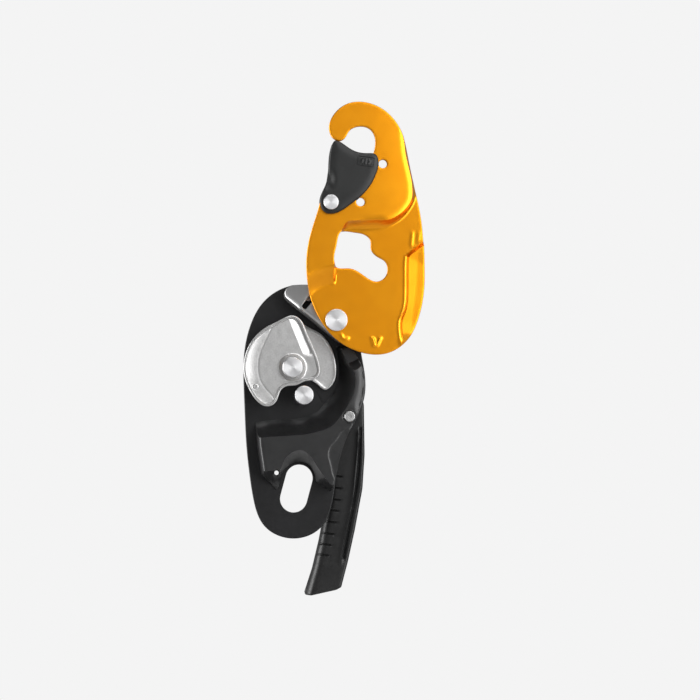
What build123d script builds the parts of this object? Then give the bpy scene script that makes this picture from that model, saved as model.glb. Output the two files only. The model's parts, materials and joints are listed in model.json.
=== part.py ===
from build123d import *
import os
from math import atan2, cos, degrees, hypot, radians, sin

os.makedirs("parts", exist_ok=True)

# A handled belay device and descender, shown with its moving side plate swung open.
# Millimetres. +X is right, +Z is up and the front faces -Y. The origin is the centre of the
# carabiner eye, on the fixed side plate's front face. A height is measured from that face
# towards the front, so height h lies at y = -h and the back of the device has negative heights.
# Points are (x, z) pairs. Everything that turns is drawn where it stands with the plate open.

# ---- axes and places ----
CAM_AXIS = (-3.0, 65.7)
PLATE_AXIS = (20.7, 91.4)
GATE_AXIS = (17.3, 155.0)
GUIDE_PIN_AT = (3.45, 50.7)
GUIDE_SCREW_AT = (28.1, 39.1)
TETHER_HOLE_AT = (-10.9, 8.6)
LOCKING_HOLE_AT = (45.7, 176.4)
LIGHTENING_HOLE_AT = (33.5, 155.5)
REAR_SCREWS_AT = [(-16.0, 19.0), (15.0, 22.0)]
FRICTION_RIVETS_AT = [(6.5, 105.5), (27.5, 98.0), (29.0, 85.5)]
STOP_PIN_ANGLE = 40.0
STOP_PIN_RADIUS_AT = 15.0

# ---- sheets and levels, all heights forward of the fixed plate's front face ----
PLATE_T = 3.0
SHEET_T = 2.5
GUIDE_TOP = 16.0
FRICTION_TOP = 14.0
MOVING_BACK = 15.5
MOVING_FRONT = MOVING_BACK + SHEET_T
HOOK_RAISE = 5.5
HOOK_BACK = MOVING_BACK + HOOK_RAISE
HOOK_FRONT = MOVING_FRONT + HOOK_RAISE
REAR_HEAD_T = 1.0
HANDLE_FRONT = -4.4
HANDLE_BACK = -17.0
HUB_BACK = -15.6

# ---- radii ----
EYE_R = 7.5
EYE_HALF_SPAN = 5.8
EYE_TILT = 15.0
AXLE_R = 4.0
AXLE_HEAD_R = 5.4
PIVOT_R = 3.5
PIVOT_HEAD_R = 6.0
GUIDE_PIN_R = 5.1
GUIDE_SHANK_R = 3.0
GATE_RIVET_R = 2.2
GATE_RIVET_HEAD_R = 4.1
SCREW_R = 1.6
SCREW_HEAD_R = 2.8
RIVET_R = 1.8
RIVET_HEAD_R = 3.0
TETHER_HOLE_R = 1.25
LOCKING_HOLE_R = 2.3
RUNNING = 0.06

# ---- cam ----
WING_LOW, WING_HIGH = 0.8, 3.4
FLANGE_LOW, FLANGE_HIGH = 10.8, 13.8
RIM_W, RIM_T = 1.5, 0.9
BOSS_R, BOSS_TOP = 7.2, 14.6
AXLE_HEAD_LOW, AXLE_HEAD_TOP = 14.9, 18.5
SPRING_WELL_R, SPRING_WELL_TOP = 7.7, 5.4
DOG_R, AXLE_DOG_SPAN, CAM_DOG_SPAN = 6.0, 20.0, 14.0

# ---- handle ----
HUB_R = 22.0
INSERT_R = 9.0
GRIP_GROOVES = 8
GRIP_GROOVE_STEP = 6.2
HANDLE_TRAVEL = 150.0


def smooth(points):
    """A closed outline that runs as one curve through its points."""
    return make_face(Spline(*points, periodic=True))


def straight(points):
    """A closed outline of straight runs."""
    return make_face(Polyline(*points, close=True))


def slab(sketch, low, high):
    """A flat piece with this outline between two heights."""
    return extrude(Plane.XZ.offset(low) * sketch, amount=high - low)


def disc(at, radius, low, high):
    return slab(Pos(*at) * Circle(radius), low, high)


def ring(at, outer, inner, low, high):
    return disc(at, outer, low, high) - disc(at, inner, low, high)


def between(low_sketch, low, high_sketch, high):
    """A block whose sides run straight from one outline to another with the same points."""
    return loft([Plane.XZ.offset(low) * low_sketch, Plane.XZ.offset(high) * high_sketch], ruled=True)


def inset(points, distance):
    """The points of an outline, each moved squarely inwards; the outline runs clockwise."""
    moved = []
    for i, (x, z) in enumerate(points):
        before, after = points[i - 1], points[(i + 1) % len(points)]
        dx, dz = after[0] - before[0], after[1] - before[1]
        length = hypot(dx, dz)
        moved.append((x + dz / length * distance, z - dx / length * distance))
    return moved


def polar(centre, radius, angle):
    return (centre[0] + radius * cos(radians(angle)), centre[1] + radius * sin(radians(angle)))


def sector(centre, outer, inner, middle, span, low, high):
    """Part of a ring, spread over an angle about its middle direction."""
    reach = outer * 2
    wedge = straight(
        [
            centre,
            polar(centre, reach, middle - span / 2),
            polar(centre, reach, middle),
            polar(centre, reach, middle + span / 2),
        ]
    )
    return ring(centre, outer, inner, low, high) & slab(wedge, low, high)


def coil(centre, mean_r, wire_r, pitch, turns, low):
    """A helical wire round an axis that points forward."""
    path = Helix(pitch=pitch, height=pitch * turns, radius=mean_r)
    section = Plane(origin=path @ 0, z_dir=path % 0) * Circle(wire_r)
    return Plane.XZ.offset(low) * Pos(*centre) * sweep(section, path=path)


def soften(part, height, size):
    """Round the edges that lie flat at one height."""
    edges = part.edges().filter_by(lambda e: abs(e.bounding_box().min.Y + height) < 0.01
                                   and abs(e.bounding_box().max.Y + height) < 0.01)
    return fillet(edges, size)


# ---- fixed side ----

PLATE_OUTLINE = [
    (0.2, 111.9), (-9.5, 109.1), (-18.5, 102.1), (-25.4, 89.5), (-28.9, 72.4), (-29.1, 60.0),
    (-28.5, 45.0), (-27.3, 22.0), (-25.4, 5.5), (-23.5, -6.0), (-17.6, -20.4), (-1.7, -27.4),
    (13.5, -21.3), (20.0, -6.5), (22.5, 10.5), (27.1, 26.5), (33.8, 39.8), (37.5, 50.8),
    (37.6, 63.0), (35.4, 76.0), (32.6, 94.0), (26.6, 103.6), (15.0, 110.4),
]


def eye(radius, low, high):
    """The tilted round-ended slot that the carabiner goes through."""
    slot = Rot(0, 0, 90.0 - EYE_TILT) * SlotCenterToCenter(2 * EYE_HALF_SPAN, 2 * radius)
    return slab(slot, low, high)


def fixed_side_plate():
    plate = slab(smooth(PLATE_OUTLINE), -PLATE_T, 0)
    plate = soften(plate, 0, 0.6)
    plate = soften(plate, -PLATE_T, 0.6)
    holes = eye(EYE_R, -PLATE_T, 0)
    holes += disc(CAM_AXIS, AXLE_R + 1.6, -PLATE_T, 0)
    holes += disc(PLATE_AXIS, PIVOT_R, -PLATE_T, 0)
    holes += disc(GUIDE_PIN_AT, GUIDE_SHANK_R, -PLATE_T, 0)
    holes += disc(GUIDE_SCREW_AT, SCREW_R, -PLATE_T, 0)
    holes += disc(TETHER_HOLE_AT, TETHER_HOLE_R, -PLATE_T, 0)
    holes += disc(polar(CAM_AXIS, STOP_PIN_RADIUS_AT, STOP_PIN_ANGLE), 2.0, -PLATE_T, 0)
    for at in REAR_SCREWS_AT:
        holes += disc(at, SCREW_R, -PLATE_T, 0)
    for at in FRICTION_RIVETS_AT:
        holes += disc(at, RIVET_R, -PLATE_T, 0)
    return plate - holes


# The guide's wall facing the cam starts at its foot on the plate and leans back to its crest.
GUIDE_FOOT = [
    (21.6, 78.4), (23.3, 67.9), (22.8, 59.6), (20.0, 52.5), (15.1, 46.4),
    (11.2, 42.0), (5.7, 39.8), (-0.9, 38.2), (-12.4, 37.6), (-22.6, 36.3),
]
GUIDE_CREST = [
    (24.6, 76.0), (29.5, 67.0), (31.3, 59.3), (30.2, 51.5), (26.7, 44.5),
    (18.9, 34.3), (10.1, 30.7), (2.2, 29.1), (-13.8, 28.0), (-21.4, 27.3),
]
GUIDE_LEFT_FOOT = [(-22.0, 24.0), (-19.5, 7.6), (-11.0, -0.9)]
GUIDE_LEFT_TOP = [(-20.9, 22.5), (-19.1, 8.1), (-10.6, -0.4)]
ARCH_FOOT = [
    (-9.6, 1.5), (-7.7, 8.6), (-3.2, 13.4), (2.0, 14.8), (6.8, 13.0), (9.9, 8.0), (11.2, 3.4),
    (19.4, -3.0),
]
ARCH_TOP = [
    (-9.6, 9.5), (-7.2, 15.6), (-3.4, 19.4), (1.8, 20.7), (6.2, 18.2), (10.7, 11.5), (15.2, 5.2),
    (19.8, -0.6),
]
GUIDE_RIGHT = [
    (22.0, 11.5), (26.5, 26.5), (33.2, 40.2), (36.8, 51.0), (36.9, 62.5), (34.0, 70.5), (29.0, 77.5),
]
COVE_LEVEL, COVE_SHARE = 5.0, 0.62
RIDGE_CLEAR_R, RIDGE_CLEAR_LEVEL = 29.0, 9.0


def part_way(start, end, share):
    """Points a given share of the way from each start point to its end point."""
    return [(a[0] + (b[0] - a[0]) * share, a[1] + (b[1] - a[1]) * share) for a, b in zip(start, end)]


def guide_outline(cove_share, rise_share):
    wall = part_way(GUIDE_FOOT, GUIDE_CREST, cove_share)
    left = part_way(GUIDE_LEFT_FOOT, GUIDE_LEFT_TOP, rise_share)
    arch = part_way(ARCH_FOOT, ARCH_TOP, rise_share)
    return straight(wall + left + arch + GUIDE_RIGHT)


def rope_guide():
    """The moulded block that steers the brake strand, coved towards the cam."""
    foot = guide_outline(0, 0)
    cove = guide_outline(COVE_SHARE, COVE_LEVEL / GUIDE_TOP)
    crest = guide_outline(1, 1)
    guide = between(foot, 0, cove, COVE_LEVEL) + between(cove, COVE_LEVEL, crest, GUIDE_TOP)
    # The ridge is cut back in a cone where the moving plate's lower level turns above it.
    low, high, depth = RIDGE_CLEAR_R - 5, RIDGE_CLEAR_R + 1, GUIDE_TOP + 1 - RIDGE_CLEAR_LEVEL
    clear = Solid.make_cone(low, high, depth, Plane.XZ.offset(RIDGE_CLEAR_LEVEL))
    guide -= Pos(PLATE_AXIS[0], 0, PLATE_AXIS[1]) * clear
    guide -= eye(EYE_R + 0.2, -1, GUIDE_TOP + 1)
    guide -= disc(GUIDE_SCREW_AT, SCREW_R, 0, GUIDE_TOP)
    guide -= disc(TETHER_HOLE_AT, TETHER_HOLE_R + 0.5, 0, GUIDE_TOP)
    for at in REAR_SCREWS_AT:
        guide -= disc(at, SCREW_R, 0, 9.0)
    return guide


def screw(at, seat, tip, head_t, forward):
    """A screw with a hex recess in its head; forward is 1 when the head faces the front."""
    head_end = seat + forward * head_t
    shank = disc(at, SCREW_R, min(seat, tip), max(seat, tip))
    head = disc(at, SCREW_HEAD_R, min(seat, head_end), max(seat, head_end))
    head = soften(head, head_end, 0.35)
    recess_end = head_end - forward * head_t * 0.7
    recess = slab(Pos(*at) * RegularPolygon(1.3, 6), min(head_end, recess_end), max(head_end, recess_end))
    return shank + head - recess


def rope_guide_screw():
    return screw(GUIDE_SCREW_AT, GUIDE_TOP, -PLATE_T, 1.6, 1)


def guide_rear_screws():
    return Part() + [screw(at, -PLATE_T, 9.0, REAR_HEAD_T, -1) for at in REAR_SCREWS_AT]


# The steel bracket whose wall squeezes the rope against the cam. Its two flanges point away
# from the cam, and its left end is bent down towards the plate.
WALL_LEFT, WALL_RIGHT = (-5.2, 102.5), (22.4, 80.0)
FRICTION_OUTLINE = [
    WALL_RIGHT, (27.5, 79.2), (33.0, 84.5), (31.0, 95.0), (25.8, 102.6), (17.8, 108.2), (7.4, 110.9),
    (0.7, 111.1), (-3.6, 110.9), (-6.4, 109.2), (-7.2, 106.6), (-6.8, 104.2), WALL_LEFT,
]
BEND_FOOT, BEND_HEAD = (0.7, 98.0), (5.4, 105.8)
END_DROP, END_REACH = 4.5, 14.0
BEND_R = 3.3
VENT_AT, VENT_L, VENT_W = (6.3, 102.3), 12.0, 2.7


def edges_by_wall(part, along, offset_in):
    """The edges where the wall turns into the front flange, a given distance in from its face."""
    def gap(point):
        return (point.X - WALL_LEFT[0]) * -along[1] + (point.Z - WALL_LEFT[1]) * along[0]

    return part.edges().filter_by(
        lambda e: abs(gap(e @ 0) - offset_in) < 0.05
        and abs(gap(e @ 1) - offset_in) < 0.05
        and max((e @ 0).Y, (e @ 1).Y) < -FRICTION_TOP / 2
        and hypot((e @ 0).X - (e @ 1).X, (e @ 0).Z - (e @ 1).Z) > 1
    )


def friction_plate():
    run = hypot(WALL_RIGHT[0] - WALL_LEFT[0], WALL_RIGHT[1] - WALL_LEFT[1])
    along = ((WALL_RIGHT[0] - WALL_LEFT[0]) / run, (WALL_RIGHT[1] - WALL_LEFT[1]) / run)
    inward = (-along[1], along[0])
    bend = hypot(BEND_HEAD[0] - BEND_FOOT[0], BEND_HEAD[1] - BEND_FOOT[1])
    line = ((BEND_HEAD[0] - BEND_FOOT[0]) / bend, (BEND_HEAD[1] - BEND_FOOT[1]) / bend)
    slope = Plane(
        origin=(BEND_FOOT[0], 0, BEND_FOOT[1]),
        x_dir=(-line[1], 0, line[0]),
        z_dir=(line[0], 0, line[1]),
    )
    bent_end = (END_REACH, FRICTION_TOP - END_DROP)
    top = straight([(-60, FRICTION_TOP), (0, FRICTION_TOP), bent_end, (END_REACH, 0), (-60, 0)])
    envelope = extrude(slope * top, amount=60, both=True)
    body = slab(straight(FRICTION_OUTLINE), 0, FRICTION_TOP) & envelope
    body = fillet(edges_by_wall(body, along, 0.0), BEND_R)

    def behind_wall(at, reach):
        """A point a sheet's thickness behind the wall's face and some way along it."""
        return tuple(at[i] + inward[i] * SHEET_T + along[i] * reach for i in (0, 1))

    inside = straight([behind_wall(WALL_LEFT, -30), behind_wall(WALL_RIGHT, 30), (60, 160), (-60, 160)])
    hollow = slab(inside, SHEET_T, FRICTION_TOP) & (Pos(0, SHEET_T, 0) * envelope)
    hollow = fillet(edges_by_wall(hollow, along, SHEET_T), BEND_R - SHEET_T)
    plate = body - hollow
    plate -= disc(PLATE_AXIS, PIVOT_R, 0, FRICTION_TOP)
    for at in FRICTION_RIVETS_AT:
        plate -= disc(at, RIVET_R, 0, SHEET_T)
    vent = Pos(*VENT_AT) * Rot(0, 0, degrees(atan2(inward[1], inward[0]))) * SlotOverall(VENT_L, VENT_W)
    return plate - slab(vent, FRICTION_TOP - SHEET_T - 1, FRICTION_TOP + 1)


def friction_plate_rivets():
    rivets = Part()
    front, rear = SHEET_T + 1.2, -PLATE_T - REAR_HEAD_T
    for at in FRICTION_RIVETS_AT:
        rivets += disc(at, RIVET_R, -PLATE_T, SHEET_T)
        rivets += soften(disc(at, RIVET_HEAD_R, SHEET_T, front), front, 0.5)
        rivets += soften(disc(at, RIVET_HEAD_R, rear, -PLATE_T), rear, 0.5)
    return rivets


def headed_pin(at, shaft_r, rear, head_low, head_r, head_top):
    """A turned pin with a front head and a low riveted head behind the fixed plate."""
    pin = disc(at, shaft_r, rear, head_low)
    pin += soften(disc(at, head_r, head_low, head_top), head_top, 0.5)
    pin += soften(disc(at, shaft_r + 1.6, rear - REAR_HEAD_T, rear), rear - REAR_HEAD_T, 0.5)
    return pin


def pivot_pin():
    return headed_pin(PLATE_AXIS, PIVOT_R, -PLATE_T, MOVING_FRONT + 0.1, PIVOT_HEAD_R, MOVING_FRONT + 2.1)


def pivot_spacer():
    return ring(PLATE_AXIS, 5.0, PIVOT_R, SHEET_T, FRICTION_TOP - SHEET_T)


def pivot_washer():
    return ring(PLATE_AXIS, 6.6, PIVOT_R, FRICTION_TOP, MOVING_BACK - 0.1)


def guide_pin():
    pin = soften(disc(GUIDE_PIN_AT, GUIDE_PIN_R, 0, 15.2), 15.2, 0.6)
    pin += disc(GUIDE_PIN_AT, GUIDE_SHANK_R, -PLATE_T, 0)
    rear = disc(GUIDE_PIN_AT, GUIDE_SHANK_R + 1.6, -PLATE_T - REAR_HEAD_T, -PLATE_T)
    return pin + soften(rear, -PLATE_T - REAR_HEAD_T, 0.5)


WEAR_OUTLINE = [
    (9.6, 56.3), (14.6, 47.2), (19.4, 52.8), (22.0, 60.0), (22.4, 67.5), (20.6, 76.0), (14.0, 85.0),
    (4.0, 91.0), (-8.0, 91.0), (-19.0, 84.0), (-25.0, 72.0), (-25.0, 60.0), (-18.0, 51.5), (-8.0, 54.0),
    (0.0, 57.5),
]


def cam_wear_plate():
    """Thin sheet that the cam's back flange slides on."""
    return slab(straight(WEAR_OUTLINE), 0, 0.5) - disc(CAM_AXIS, SPRING_WELL_R, 0, 0.5)


def axle_bush():
    """Flanged bush that carries the axle in the fixed plate and spaces the handle off it."""
    bush = disc(CAM_AXIS, AXLE_R + 1.6, -PLATE_T, 0) + disc(CAM_AXIS, 8.5, HANDLE_FRONT + 0.1, -PLATE_T)
    return bush - disc(CAM_AXIS, AXLE_R + RUNNING, HANDLE_FRONT, 1)


def handle_stop_pin():
    at = polar(CAM_AXIS, STOP_PIN_RADIUS_AT, STOP_PIN_ANGLE)
    return soften(disc(at, 2.0, -6.6, 0), -6.6, 0.4)


def cam_spring():
    """Torsion spring in the cam's well, which returns the cam."""
    return coil(CAM_AXIS, 6.85, 0.42, 1.1, 3, 1.4)


# ---- cam ----

CAM_OUTLINE = [
    (-2.6, 94.1), (0.9, 92.4), (4.6, 85.7), (9.5, 74.3), (11.9, 66.7), (11.8, 62.1), (8.6, 59.0), (3.8, 58.2),
    (-0.6, 56.2), (-5.6, 55.6), (-9.2, 53.3), (-10.7, 49.5), (-13.0, 45.7), (-17.0, 44.5), (-21.6, 46.9),
    (-26.2, 53.3), (-29.3, 61.5), (-29.3, 69.6), (-25.4, 79.8), (-18.0, 87.3), (-10.0, 91.5),
]
CORE_OUTLINE = [
    (-3.0, 90.0), (-0.6, 88.5), (3.2, 81.0), (7.2, 71.5), (8.2, 64.0), (6.8, 60.6), (2.8, 59.2), (-3.6, 57.2),
    (-9.6, 56.6), (-13.4, 51.0), (-17.0, 48.6), (-20.2, 51.6), (-24.0, 59.0), (-25.2, 67.0), (-21.6, 77.6),
    (-15.4, 84.2), (-8.4, 88.4),
]
WING_OUTLINE = [
    (-2.6, 93.4), (4.2, 89.6), (12.8, 84.9), (19.5, 75.7), (21.7, 65.6), (20.2, 58.0), (15.6, 54.0),
    (11.1, 57.2), (6.0, 59.3), (-0.6, 57.0), (-6.5, 56.2), (-11.5, 50.0), (-16.0, 47.8), (-22.0, 52.0),
    (-26.6, 61.0), (-26.4, 71.0), (-21.0, 82.0), (-12.0, 89.4),
]
CAM_PIN_AT = (-22.9, 55.3)
AXLE_DOG_ANGLE, CAM_DOG_ANGLE = 95.0, 280.0


def cam():
    front = slab(smooth(CAM_OUTLINE), FLANGE_LOW, FLANGE_HIGH + RIM_T)
    front = soften(front, FLANGE_HIGH + RIM_T, 0.45)
    front -= slab(smooth(inset(CAM_OUTLINE, RIM_W)), FLANGE_HIGH, FLANGE_HIGH + RIM_T + 1)
    core = slab(smooth(CORE_OUTLINE), WING_HIGH, FLANGE_LOW)
    wing = slab(smooth(WING_OUTLINE), WING_LOW, WING_HIGH)
    body = front + core + wing
    body += soften(disc(CAM_AXIS, BOSS_R, FLANGE_HIGH - 1, BOSS_TOP), BOSS_TOP, 0.4)
    body -= disc(CAM_AXIS, SPRING_WELL_R, 0, SPRING_WELL_TOP)
    body += sector(CAM_AXIS, DOG_R, AXLE_R + 0.3, CAM_DOG_ANGLE, CAM_DOG_SPAN, 1.4, SPRING_WELL_TOP)
    body -= disc(CAM_AXIS, AXLE_R + 1.2, SPRING_WELL_TOP, BOSS_TOP)
    return body - disc(CAM_PIN_AT, 1.2, 8.0, FLANGE_HIGH)


def cam_bush():
    return ring(CAM_AXIS, AXLE_R + 1.2, AXLE_R + RUNNING, SPRING_WELL_TOP, BOSS_TOP)


def cam_pin():
    return soften(disc(CAM_PIN_AT, 1.2, 8.0, FLANGE_HIGH + 0.7), FLANGE_HIGH + 0.7, 0.3)


# ---- handle and axle ----

GRIP_OUTLINE = [
    (36.0, 52.0), (37.5, 46.1), (37.9, 18.7), (36.7, 0.0), (32.5, -22.6), (28.7, -39.9), (25.0, -54.1),
    (22.4, -55.6), (8.4, -58.7), (5.4, -58.3), (5.0, -56.6), (9.2, -43.6), (12.9, -27.9), (16.5, -9.0),
    (17.6, 5.0), (16.5, 18.6), (12.0, 32.0), (2.0, 44.0), (-8.0, 60.0), (10.0, 80.0), (24.0, 72.0),
]


def handle():
    lever = slab(fillet(straight(GRIP_OUTLINE).vertices(), 1.2), HANDLE_BACK, HANDLE_FRONT)
    lever = soften(lever, HANDLE_FRONT, 1.0)
    lever = soften(lever, HANDLE_BACK, 1.0)
    # Over the hub and the neck the lever is thinner at the back than it is along the grip.
    neck = slab(straight([(-40, 34), (60, 34), (60, 110), (-40, 110)]), HANDLE_BACK - 1, HUB_BACK)
    lever -= neck
    hub = soften(disc(CAM_AXIS, HUB_R, HUB_BACK, HANDLE_FRONT), HANDLE_FRONT, 1.0)
    lever += soften(hub, HUB_BACK, 1.5)
    for i in range(GRIP_GROOVES):
        z = 7.6 - i * GRIP_GROOVE_STEP
        x = 16.6 - 0.19 * (i * GRIP_GROOVE_STEP) * (0.4 + 0.12 * i)
        groove = Pos(x + 2.0, z) * Rot(0, 0, -8) * SlotOverall(9.0, 1.6)
        lever -= slab(groove, HANDLE_FRONT - 0.8, HANDLE_FRONT + 1)
    arc = CenterArc(CAM_AXIS, STOP_PIN_RADIUS_AT, STOP_PIN_ANGLE - HANDLE_TRAVEL - 1, HANDLE_TRAVEL + 2)
    lever -= slab(SlotArc(arc, 4.6), -7.2, HANDLE_FRONT + 1)
    return lever - disc(CAM_AXIS, INSERT_R, HANDLE_BACK, HANDLE_FRONT)


def handle_drive_insert():
    """Steel boss pressed into the handle's hub, with a square hole that grips the axle."""
    boss = disc(CAM_AXIS, INSERT_R, HUB_BACK, HANDLE_FRONT)
    return boss - slab(Pos(*CAM_AXIS) * Rectangle(5.8, 5.8), HUB_BACK, HANDLE_FRONT)


def cam_axle():
    """Headed axle: round through the cam and the plate, square in the handle, threaded behind."""
    axle = soften(disc(CAM_AXIS, AXLE_HEAD_R, AXLE_HEAD_LOW, AXLE_HEAD_TOP), AXLE_HEAD_TOP, 0.5)
    axle += disc(CAM_AXIS, AXLE_R, HANDLE_FRONT + 0.1, AXLE_HEAD_LOW)
    axle += slab(Pos(*CAM_AXIS) * Rectangle(5.8, 5.8), HUB_BACK, HANDLE_FRONT + 0.1)
    axle += disc(CAM_AXIS, 2.5, HUB_BACK - 4.2, HUB_BACK)
    dog_low, dog_high = 1.4, SPRING_WELL_TOP - 0.4
    return axle + sector(CAM_AXIS, DOG_R, AXLE_R - 0.5, AXLE_DOG_ANGLE, AXLE_DOG_SPAN, dog_low, dog_high)


def axle_washer():
    return ring(CAM_AXIS, 6.5, 2.5, HUB_BACK - 1.0, HUB_BACK)


def axle_nut():
    nut = slab(Pos(*CAM_AXIS) * RegularPolygon(4.6, 6), HUB_BACK - 4.0, HUB_BACK - 1.0)
    return nut - disc(CAM_AXIS, 2.5, HUB_BACK - 5, HUB_BACK)


# ---- moving side plate ----

MOVING_OUTLINE = [
    (34.8, 210.3), (26.3, 209.2), (19.8, 204.4), (16.5, 197.6), (17.0, 192.6), (19.0, 189.8), (22.1, 188.7),
    (24.9, 190.2), (27.4, 194.2), (33.7, 196.8), (39.0, 195.0), (41.6, 189.5), (40.6, 182.2), (37.6, 174.0),
    (32.0, 166.4), (24.6, 161.6), (17.3, 160.4), (12.9, 158.4), (11.2, 154.2), (8.6, 145.4), (5.6, 135.0),
    (4.1, 123.8), (5.2, 109.5), (10.4, 94.4), (20.4, 81.2), (34.3, 73.9), (48.9, 73.6), (59.4, 80.6),
    (65.4, 92.4), (68.2, 105.0), (68.7, 125.0), (66.6, 150.0), (61.6, 172.0), (58.4, 187.4), (55.4, 195.6),
    (47.4, 205.3),
]
WINDOW_OUTLINE = [
    (23.2, 139.4), (30.3, 139.4), (36.0, 138.2), (39.4, 134.8), (39.6, 130.6), (43.0, 126.2), (47.4, 123.4),
    (48.7, 119.0), (46.9, 114.6), (42.6, 112.6), (38.2, 114.2), (33.4, 117.5), (28.0, 119.7), (20.4, 120.7),
    (19.2, 124.0), (20.4, 131.4),
]
# The hook and the arm stand forward of the rest; the sheet steps down from the edge to the foot.
STEP_EDGE = [
    (19.5, 121.2), (21.0, 131.0), (23.6, 142.6), (32.7, 145.5), (42.1, 146.2), (48.4, 145.9),
    (54.7, 149.0), (60.4, 155.5), (60.4, 170.0), (55.6, 190.0),
]
STEP_FOOT = [
    (20.4, 120.8), (22.2, 131.0), (24.9, 139.9), (32.0, 139.0), (38.1, 137.4), (46.5, 139.0),
    (56.0, 144.6), (64.0, 153.8), (64.6, 172.0), (61.0, 192.0),
]
OUTER_TOP = [(60.0, 215.0), (-10.0, 215.0), (-10.0, 100.0)]
ARM_EDGE_R, ARM_FOOT_R = 29.7, 19.2
FLARE_FOOT = [(57.0, 82.4), (56.0, 90.9), (59.2, 101.6), (59.7, 124.0), (68.3, 132.4)]
FLARE_TOP = [(63.0, 75.0), (68.6, 88.0), (71.8, 101.6), (72.0, 122.0), (75.0, 128.0)]
FLARE_RISE = 5.0


def arm_arc(radius):
    """Points round the plate's axis along the arm, from left to right."""
    return [polar(PLATE_AXIS, radius, angle) for angle in (170, 140, 115, 94)]


def formed_front():
    """Everything behind the moving plate's front surface."""
    block = slab(straight([(-10, 60), (80, 60), (80, 215), (-10, 215)]), 0, MOVING_FRONT)
    foot = straight(arm_arc(ARM_FOOT_R) + STEP_FOOT + OUTER_TOP)
    edge = straight(arm_arc(ARM_EDGE_R) + STEP_EDGE + OUTER_TOP)
    block += between(foot, MOVING_FRONT, edge, HOOK_FRONT)
    flare_foot = straight(FLARE_FOOT + [(85.0, 132.0), (85.0, 75.0)])
    flare_top = straight(FLARE_TOP + [(85.0, 128.0), (85.0, 78.0)])
    return block + between(flare_foot, MOVING_FRONT, flare_top, MOVING_FRONT + FLARE_RISE)


def moving_side_plate():
    outline = smooth(MOVING_OUTLINE) - smooth(WINDOW_OUTLINE)
    outline -= Pos(*LOCKING_HOLE_AT) * Circle(LOCKING_HOLE_R)
    outline -= Pos(*LIGHTENING_HOLE_AT) * Circle(LOCKING_HOLE_R)
    outline -= Pos(*GATE_AXIS) * Circle(GATE_RIVET_R)
    outline -= Pos(*PLATE_AXIS) * Circle(PIVOT_R + RUNNING)
    front = formed_front()
    sheet = front - Pos(0, SHEET_T, 0) * front
    return slab(outline, MOVING_BACK - 1, HOOK_FRONT + 1) & sheet


# ---- gate ----

GATE_OUTLINE = [
    (19.4, 188.6), (25.1, 186.2), (30.6, 183.0), (37.0, 182.0), (41.6, 181.4), (43.3, 177.0), (42.2, 171.4),
    (38.8, 164.4), (33.4, 158.2), (26.9, 153.2), (19.2, 149.0), (14.4, 149.4), (11.7, 153.0), (12.0, 159.2),
    (14.6, 165.0), (16.2, 175.0), (17.4, 185.0),
]
GATE_SPINE = [
    (17.9, 187.2), (20.0, 186.6), (21.5, 182.0), (21.9, 176.0), (20.2, 169.6), (16.8, 165.4), (14.9, 164.8),
    (16.4, 175.0),
]
GATE_FRONT_LOW, GATE_FRONT_TOP = HOOK_FRONT + 0.4, HOOK_FRONT + 3.0
GATE_REAR_LOW, GATE_REAR_TOP = 17.8, HOOK_BACK - 0.4
GATE_SPRING_WELL_R = 3.7


def gate():
    """Sprung nylon gate that straddles the hook and closes its mouth."""
    front = slab(smooth(GATE_OUTLINE), GATE_FRONT_LOW, GATE_FRONT_TOP)
    rear = slab(smooth(GATE_OUTLINE), GATE_REAR_LOW, GATE_REAR_TOP)
    body = soften(front, GATE_FRONT_TOP, 0.8) + soften(rear, GATE_REAR_LOW, 0.6)
    body += slab(straight(GATE_SPINE), GATE_REAR_LOW + 0.6, GATE_FRONT_TOP - 0.8)
    body -= disc(GATE_AXIS, GATE_RIVET_R + RUNNING, GATE_REAR_LOW, GATE_FRONT_TOP)
    return body - disc(GATE_AXIS, GATE_SPRING_WELL_R, GATE_REAR_LOW + 1.0, GATE_REAR_TOP)


def gate_rivet():
    rivet = disc(GATE_AXIS, GATE_RIVET_R, GATE_REAR_LOW - 0.1, GATE_FRONT_TOP + 0.1)
    front = disc(GATE_AXIS, GATE_RIVET_HEAD_R, GATE_FRONT_TOP + 0.1, GATE_FRONT_TOP + 1.1)
    rear = disc(GATE_AXIS, GATE_RIVET_HEAD_R - 0.6, GATE_REAR_LOW - 0.8, GATE_REAR_LOW - 0.1)
    return rivet + soften(front, GATE_FRONT_TOP + 1.1, 0.5) + soften(rear, GATE_REAR_LOW - 0.8, 0.3)


def gate_spring():
    return coil(GATE_AXIS, 2.95, 0.3, 0.68, 2, GATE_REAR_LOW + 1.35)


PIECES = [
    fixed_side_plate, rope_guide, rope_guide_screw, guide_rear_screws, friction_plate, friction_plate_rivets,
    pivot_pin, pivot_spacer, pivot_washer, guide_pin, cam_wear_plate, axle_bush, handle_stop_pin, cam_spring,
    cam, cam_bush, cam_pin, handle, handle_drive_insert, cam_axle, axle_washer, axle_nut,
    moving_side_plate, gate_rivet, gate, gate_spring,
]

for piece in PIECES:
    export_step(piece(), f"parts/{piece.__name__}.step")
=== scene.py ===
import json
from math import ceil, cos, hypot, pi, radians, sin, tan

import bpy
import numpy as np
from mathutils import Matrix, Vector
from mathutils.geometry import delaunay_2d_cdt


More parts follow.
